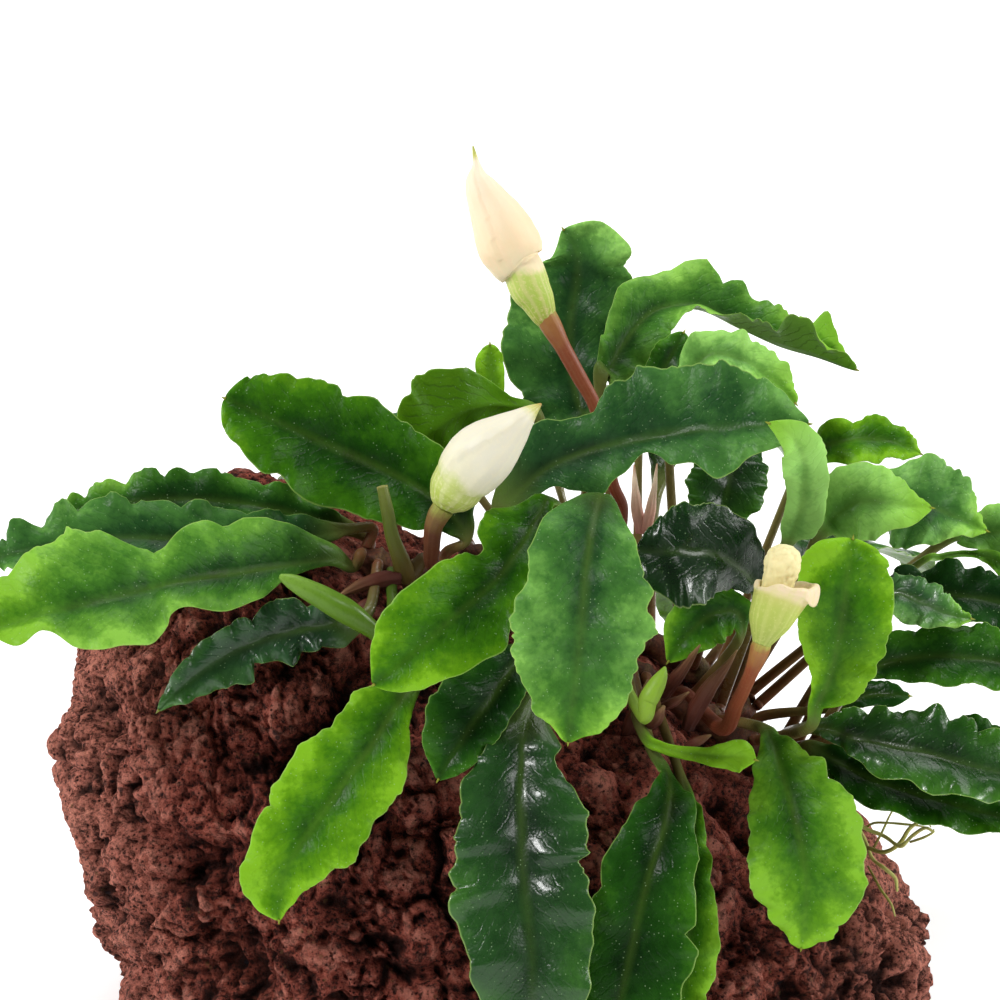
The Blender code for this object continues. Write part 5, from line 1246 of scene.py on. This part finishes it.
# Colours of the finishes: a mark from 0 to 1, then red, green and blue there
LEAF_SHADES = [(0.0, 0.0025, 0.017, 0.0015), (0.30, 0.010, 0.055, 0.0025), (0.60, 0.040, 0.150, 0.004),
               (0.85, 0.105, 0.275, 0.006), (1.0, 0.19, 0.42, 0.015)]
COOL_SHADES = [(0.0, 0.006, 0.026, 0.009), (0.30, 0.018, 0.067, 0.019), (0.60, 0.055, 0.165, 0.036),
               (0.85, 0.16, 0.37, 0.085), (1.0, 0.33, 0.64, 0.16)]
STALK_SHADES = [(0.0, 0.10, 0.17, 0.03), (0.30, 0.14, 0.12, 0.035), (0.65, 0.17, 0.060, 0.028),
                (1.0, 0.12, 0.030, 0.018)]
STONE_SHADES = [(0.30, 0.13, 0.022, 0.014), (0.45, 0.26, 0.046, 0.030), (0.58, 0.40, 0.082, 0.055),
                (0.72, 0.55, 0.140, 0.098)]
CREAM_TALL = [(0.0, 0.291, 0.342, 0.043), (0.10, 0.359, 0.479, 0.068), (0.26, 0.462, 0.564, 0.128),
              (0.31, 0.804, 0.693, 0.445), (0.42, 0.829, 0.658, 0.419), (0.70, 0.821, 0.684, 0.487),
              (0.93, 0.812, 0.735, 0.581), (0.965, 0.47, 0.513, 0.103), (1.0, 0.257, 0.325, 0.043)]
CREAM_CLOSED = [(0.0, 0.331, 0.397, 0.066), (0.12, 0.413, 0.496, 0.099), (0.27, 0.48, 0.545, 0.165),
                (0.33, 0.677, 0.653, 0.463), (0.50, 0.719, 0.686, 0.545), (0.86, 0.728, 0.694, 0.554),
                (0.92, 0.545, 0.545, 0.181), (0.97, 0.413, 0.38, 0.066), (1.0, 0.331, 0.165, 0.033)]
CREAM_OPEN = [(0.0, 0.211, 0.292, 0.032), (0.30, 0.284, 0.381, 0.045), (0.62, 0.356, 0.446, 0.065),
              (0.80, 0.47, 0.486, 0.122), (0.90, 0.729, 0.599, 0.373), (1.0, 0.761, 0.616, 0.421)]
CREAM_SPADIX = [(0.0, 0.70, 0.63, 0.26), (0.5, 0.81, 0.71, 0.35), (1.0, 0.83, 0.74, 0.41)]
RED_STALK = [(0.0, 0.08, 0.016, 0.009), (0.5, 0.17, 0.034, 0.014), (0.88, 0.22, 0.055, 0.022),
             (0.96, 0.30, 0.14, 0.04), (1.0, 0.36, 0.36, 0.07)]
# Painted shade: the red stalk colours darkened, for the closed flower's stalk that stands in shade
RED_STALK_PAINTED_SHADE = [(0.0, 0.035, 0.010, 0.006), (0.5, 0.065, 0.016, 0.007), (0.85, 0.11, 0.034, 0.014),
              (0.95, 0.18, 0.11, 0.03), (1.0, 0.26, 0.28, 0.05)]
SHEATH_TAN = [(0.0, 0.050, 0.011, 0.008), (0.4, 0.090, 0.022, 0.012), (0.8, 0.16, 0.075, 0.032),
              (1.0, 0.30, 0.19, 0.08)]
SHEATH_PINK = [(0.0, 0.30, 0.09, 0.08), (0.35, 0.60, 0.34, 0.26), (0.8, 0.70, 0.60, 0.46),
               (1.0, 0.34, 0.18, 0.10)]
CUT_STALK = [(0.0, 0.06, 0.03, 0.012), (0.40, 0.10, 0.07, 0.014), (0.75, 0.09, 0.12, 0.015),
             (0.97, 0.14, 0.17, 0.03), (1.0, 0.36, 0.32, 0.10)]
ROLLED_GREEN = [(0.0, 0.05, 0.08, 0.012), (0.4, 0.075, 0.155, 0.010), (0.8, 0.10, 0.21, 0.015),
                (1.0, 0.18, 0.34, 0.04)]
BUD_GREEN = [(0.0, 0.16, 0.08, 0.04), (0.15, 0.22, 0.28, 0.05), (0.5, 0.28, 0.44, 0.05),
             (1.0, 0.22, 0.38, 0.03)]
BARK_SHADES = [(0.3, 0.050, 0.016, 0.009), (0.5, 0.11, 0.036, 0.018), (0.7, 0.11, 0.075, 0.026)]
ROOT_SHADES = [(0.0, 0.20, 0.17, 0.04), (0.4, 0.34, 0.34, 0.08), (1.0, 0.52, 0.50, 0.16)]

LEAF_FRESH = leaf_finish("leaf_fresh", 0.08, 0.0)
LEAF_GLOSSY = leaf_finish("leaf_glossy", 0.30, 0.12)
BARK = stem_finish()
RED_STEM = shaded_finish("flower_stalk_red", RED_STALK, (0.26, 0.11, 0.05), 0.42, 0.58, 44.0, 0.0)
# The closed flower's stalk gets the red stalk finish darkened as painted shade
RED_STEM_PAINTED_SHADE = shaded_finish("flower_stalk_red_painted_shade", RED_STALK_PAINTED_SHADE, (0.14, 0.06, 0.03), 0.42, 0.58, 44.0, 0.0)
SHEATH_PAPER = shaded_finish("sheath_tan", SHEATH_TAN, (0.10, 0.03, 0.02), 0.5, 0.7, 30.0, 0.04)
PINK_PRONG = shaded_finish("sheath_pink", SHEATH_PINK, (0.50, 0.24, 0.18), 0.45, 0.6, 30.0, 0.08)
TALL_HOOD = shaded_finish("hood_peach", CREAM_TALL, (0.90, 0.66, 0.44), 0.42, 0.58, 60.0, 0.15)
CLOSED_HOOD = shaded_finish("hood_cream", CREAM_CLOSED, (0.80, 0.74, 0.52), 0.36, 0.52, 60.0, 0.15)
OPEN_HOOD = shaded_finish("hood_open", CREAM_OPEN, (0.62, 0.62, 0.22), 0.40, 0.55, 60.0, 0.12)
CUT_STUMP = shaded_finish("cut_stalk_green", CUT_STALK, (0.10, 0.08, 0.03), 0.38, 0.55)
ROLLED_LEAF = shaded_finish("rolled_leaf_green", ROLLED_GREEN, (0.06, 0.13, 0.012), 0.26, 0.40)
SMALL_BUD = shaded_finish("bud_green", BUD_GREEN, (0.20, 0.28, 0.08), 0.34, 0.5)
FLOWER_SPIKE = shaded_finish("spadix_cream", CREAM_SPADIX, (0.80, 0.62, 0.28), 0.5, 0.7, 0.0, 0.12)
ROOT_STRAW = shaded_finish("root_straw", ROOT_SHADES, (0.14, 0.10, 0.04), 0.5, 0.75)

# Each round part's shape, finish, slot, columns and rings from one row to the next
ROUND_LOOKS = {
    "leaf_rolled": (furled, ROLLED_LEAF, "leaf", 32, 14),
    "stalk_cut": (stalk_grain, CUT_STUMP, "flower_stalk", 32, 14),
    "bud_small": (wrapped, SMALL_BUD, "leaf", 32, 14),
    "spathe_tall": (hooded, TALL_HOOD, "spathe", 72, 14),
    "stalk_tall": (stalk_grain, RED_STEM, "flower_stalk", 32, 14),
    "spathe_closed": (hooded, CLOSED_HOOD, "spathe", 72, 14),
    "stalk_closed": (stalk_grain, RED_STEM_PAINTED_SHADE, "flower_stalk", 32, 14),
    "stalk_open": (stalk_grain, RED_STEM, "flower_stalk", 32, 14),
    "spadix": (grained, FLOWER_SPIKE, "spadix", 72, 14),
    "root_long": (rooted, ROOT_STRAW, "rhizome", 12, 10),
    "root_bent": (rooted, ROOT_STRAW, "rhizome", 12, 10),
}

show(make_stone(), stone_finish(), "stone")

for side, stem_path in RHIZOME_PATHS.items():
    thick = np.full(len(stem_path), RHIZOME_RADIUS)
    thick[[0, -1]] = RHIZOME_RADIUS * 0.55
    bark = make_round("rhizome_" + side + "_bark", np.column_stack([stem_path, thick]), stem_scars, 44, 10,
                      seen=False)
    show(bark, BARK, "rhizome_" + side)

for name, leaf in LEAVES.items():
    look = LEAF_GLOSSY if name in GLOSSY_LEAVES else LEAF_FRESH
    show(make_leaf(name, leaf, False), look, name)
for name, leaf in FAR_LEAVES.items():
    show(make_leaf(name, leaf, True), LEAF_GLOSSY, name)

for name, part in ROUND_PARTS.items():
    shape, look, slot, columns, rings_per_step = ROUND_LOOKS[name]
    show(make_round(name + "_skin", shape=shape, columns=columns, rings_per_step=rings_per_step, **part),
         look, name)

show(make_open_spathe(), OPEN_HOOD, "spathe_open")

for name, rows in SHEATHS.items():
    look = PINK_PRONG if name.startswith("prong") else SHEATH_PAPER
    show(make_round(name + "_skin", rows, sheathed, 28, 12), look)
for name, rows in ROOTLETS.items():
    show(make_round(name + "_skin", rows, rooted, 10, 9), ROOT_STRAW)

# Floor, light and camera
floor = link_mesh("floor", [(-4.0, -3.0, 0.0), (4.0, -3.0, 0.0), (4.0, 7.0, 0.0), (-4.0, 7.0, 0.0)],
                  [(0, 1, 2, 3)])
paper = Finish("pale_floor")
paper.set(Base_Color=(0.93, 0.93, 0.93), Roughness=0.8, Emission_Color=(1.0, 1.0, 1.0),
          Emission_Strength=0.3)
floor.data.materials.append(paper.material)

world = bpy.data.worlds.new("studio")
bpy.context.scene.world = world
world.use_nodes = True
backdrop = world.node_tree.nodes["Background"]
backdrop.inputs["Color"].default_value = (1.0, 1.0, 1.0, 1.0)
backdrop.inputs["Strength"].default_value = 0.15

# Far lights: name, degrees round from the front to the right, height and softness in
# degrees, strength
LIGHTS = [("key", -56.0, 46.0, 10.0, 2.05), ("fill", 66.0, 32.0, 20.0, 1.05),
          ("left edge", -104.0, 18.0, 14.0, 1.15), ("right edge", 104.0, 18.0, 14.0, 1.5),
          ("top", 160.0, 66.0, 34.0, 1.2)]
for name, around, height, softness, strength in LIGHTS:
    light = bpy.data.lights.new(name, "SUN")
    light.angle = np.radians(softness)
    light.energy = strength
    lamp = bpy.data.objects.new(name, light)
    turn = np.radians(around)
    rise = np.radians(height)
    towards = Vector((np.sin(turn) * np.cos(rise), -np.cos(turn) * np.cos(rise), np.sin(rise)))
    lamp.rotation_euler = towards.to_track_quat("Z", "Y").to_euler()
    bpy.context.scene.collection.objects.link(lamp)

camera_data = bpy.data.cameras.new("camera")
camera_data.lens = 120.0
camera_data.sensor_width = 36.0
camera = bpy.data.objects.new("camera", camera_data)
camera.location = (0.0, -0.4698, 0.255)
camera.rotation_euler = (np.radians(70.0), 0.0, 0.0)
bpy.context.scene.collection.objects.link(camera)
bpy.context.scene.camera = camera
bpy.context.scene.view_settings.view_transform = "Standard"
bpy.context.scene.view_settings.look = "None"
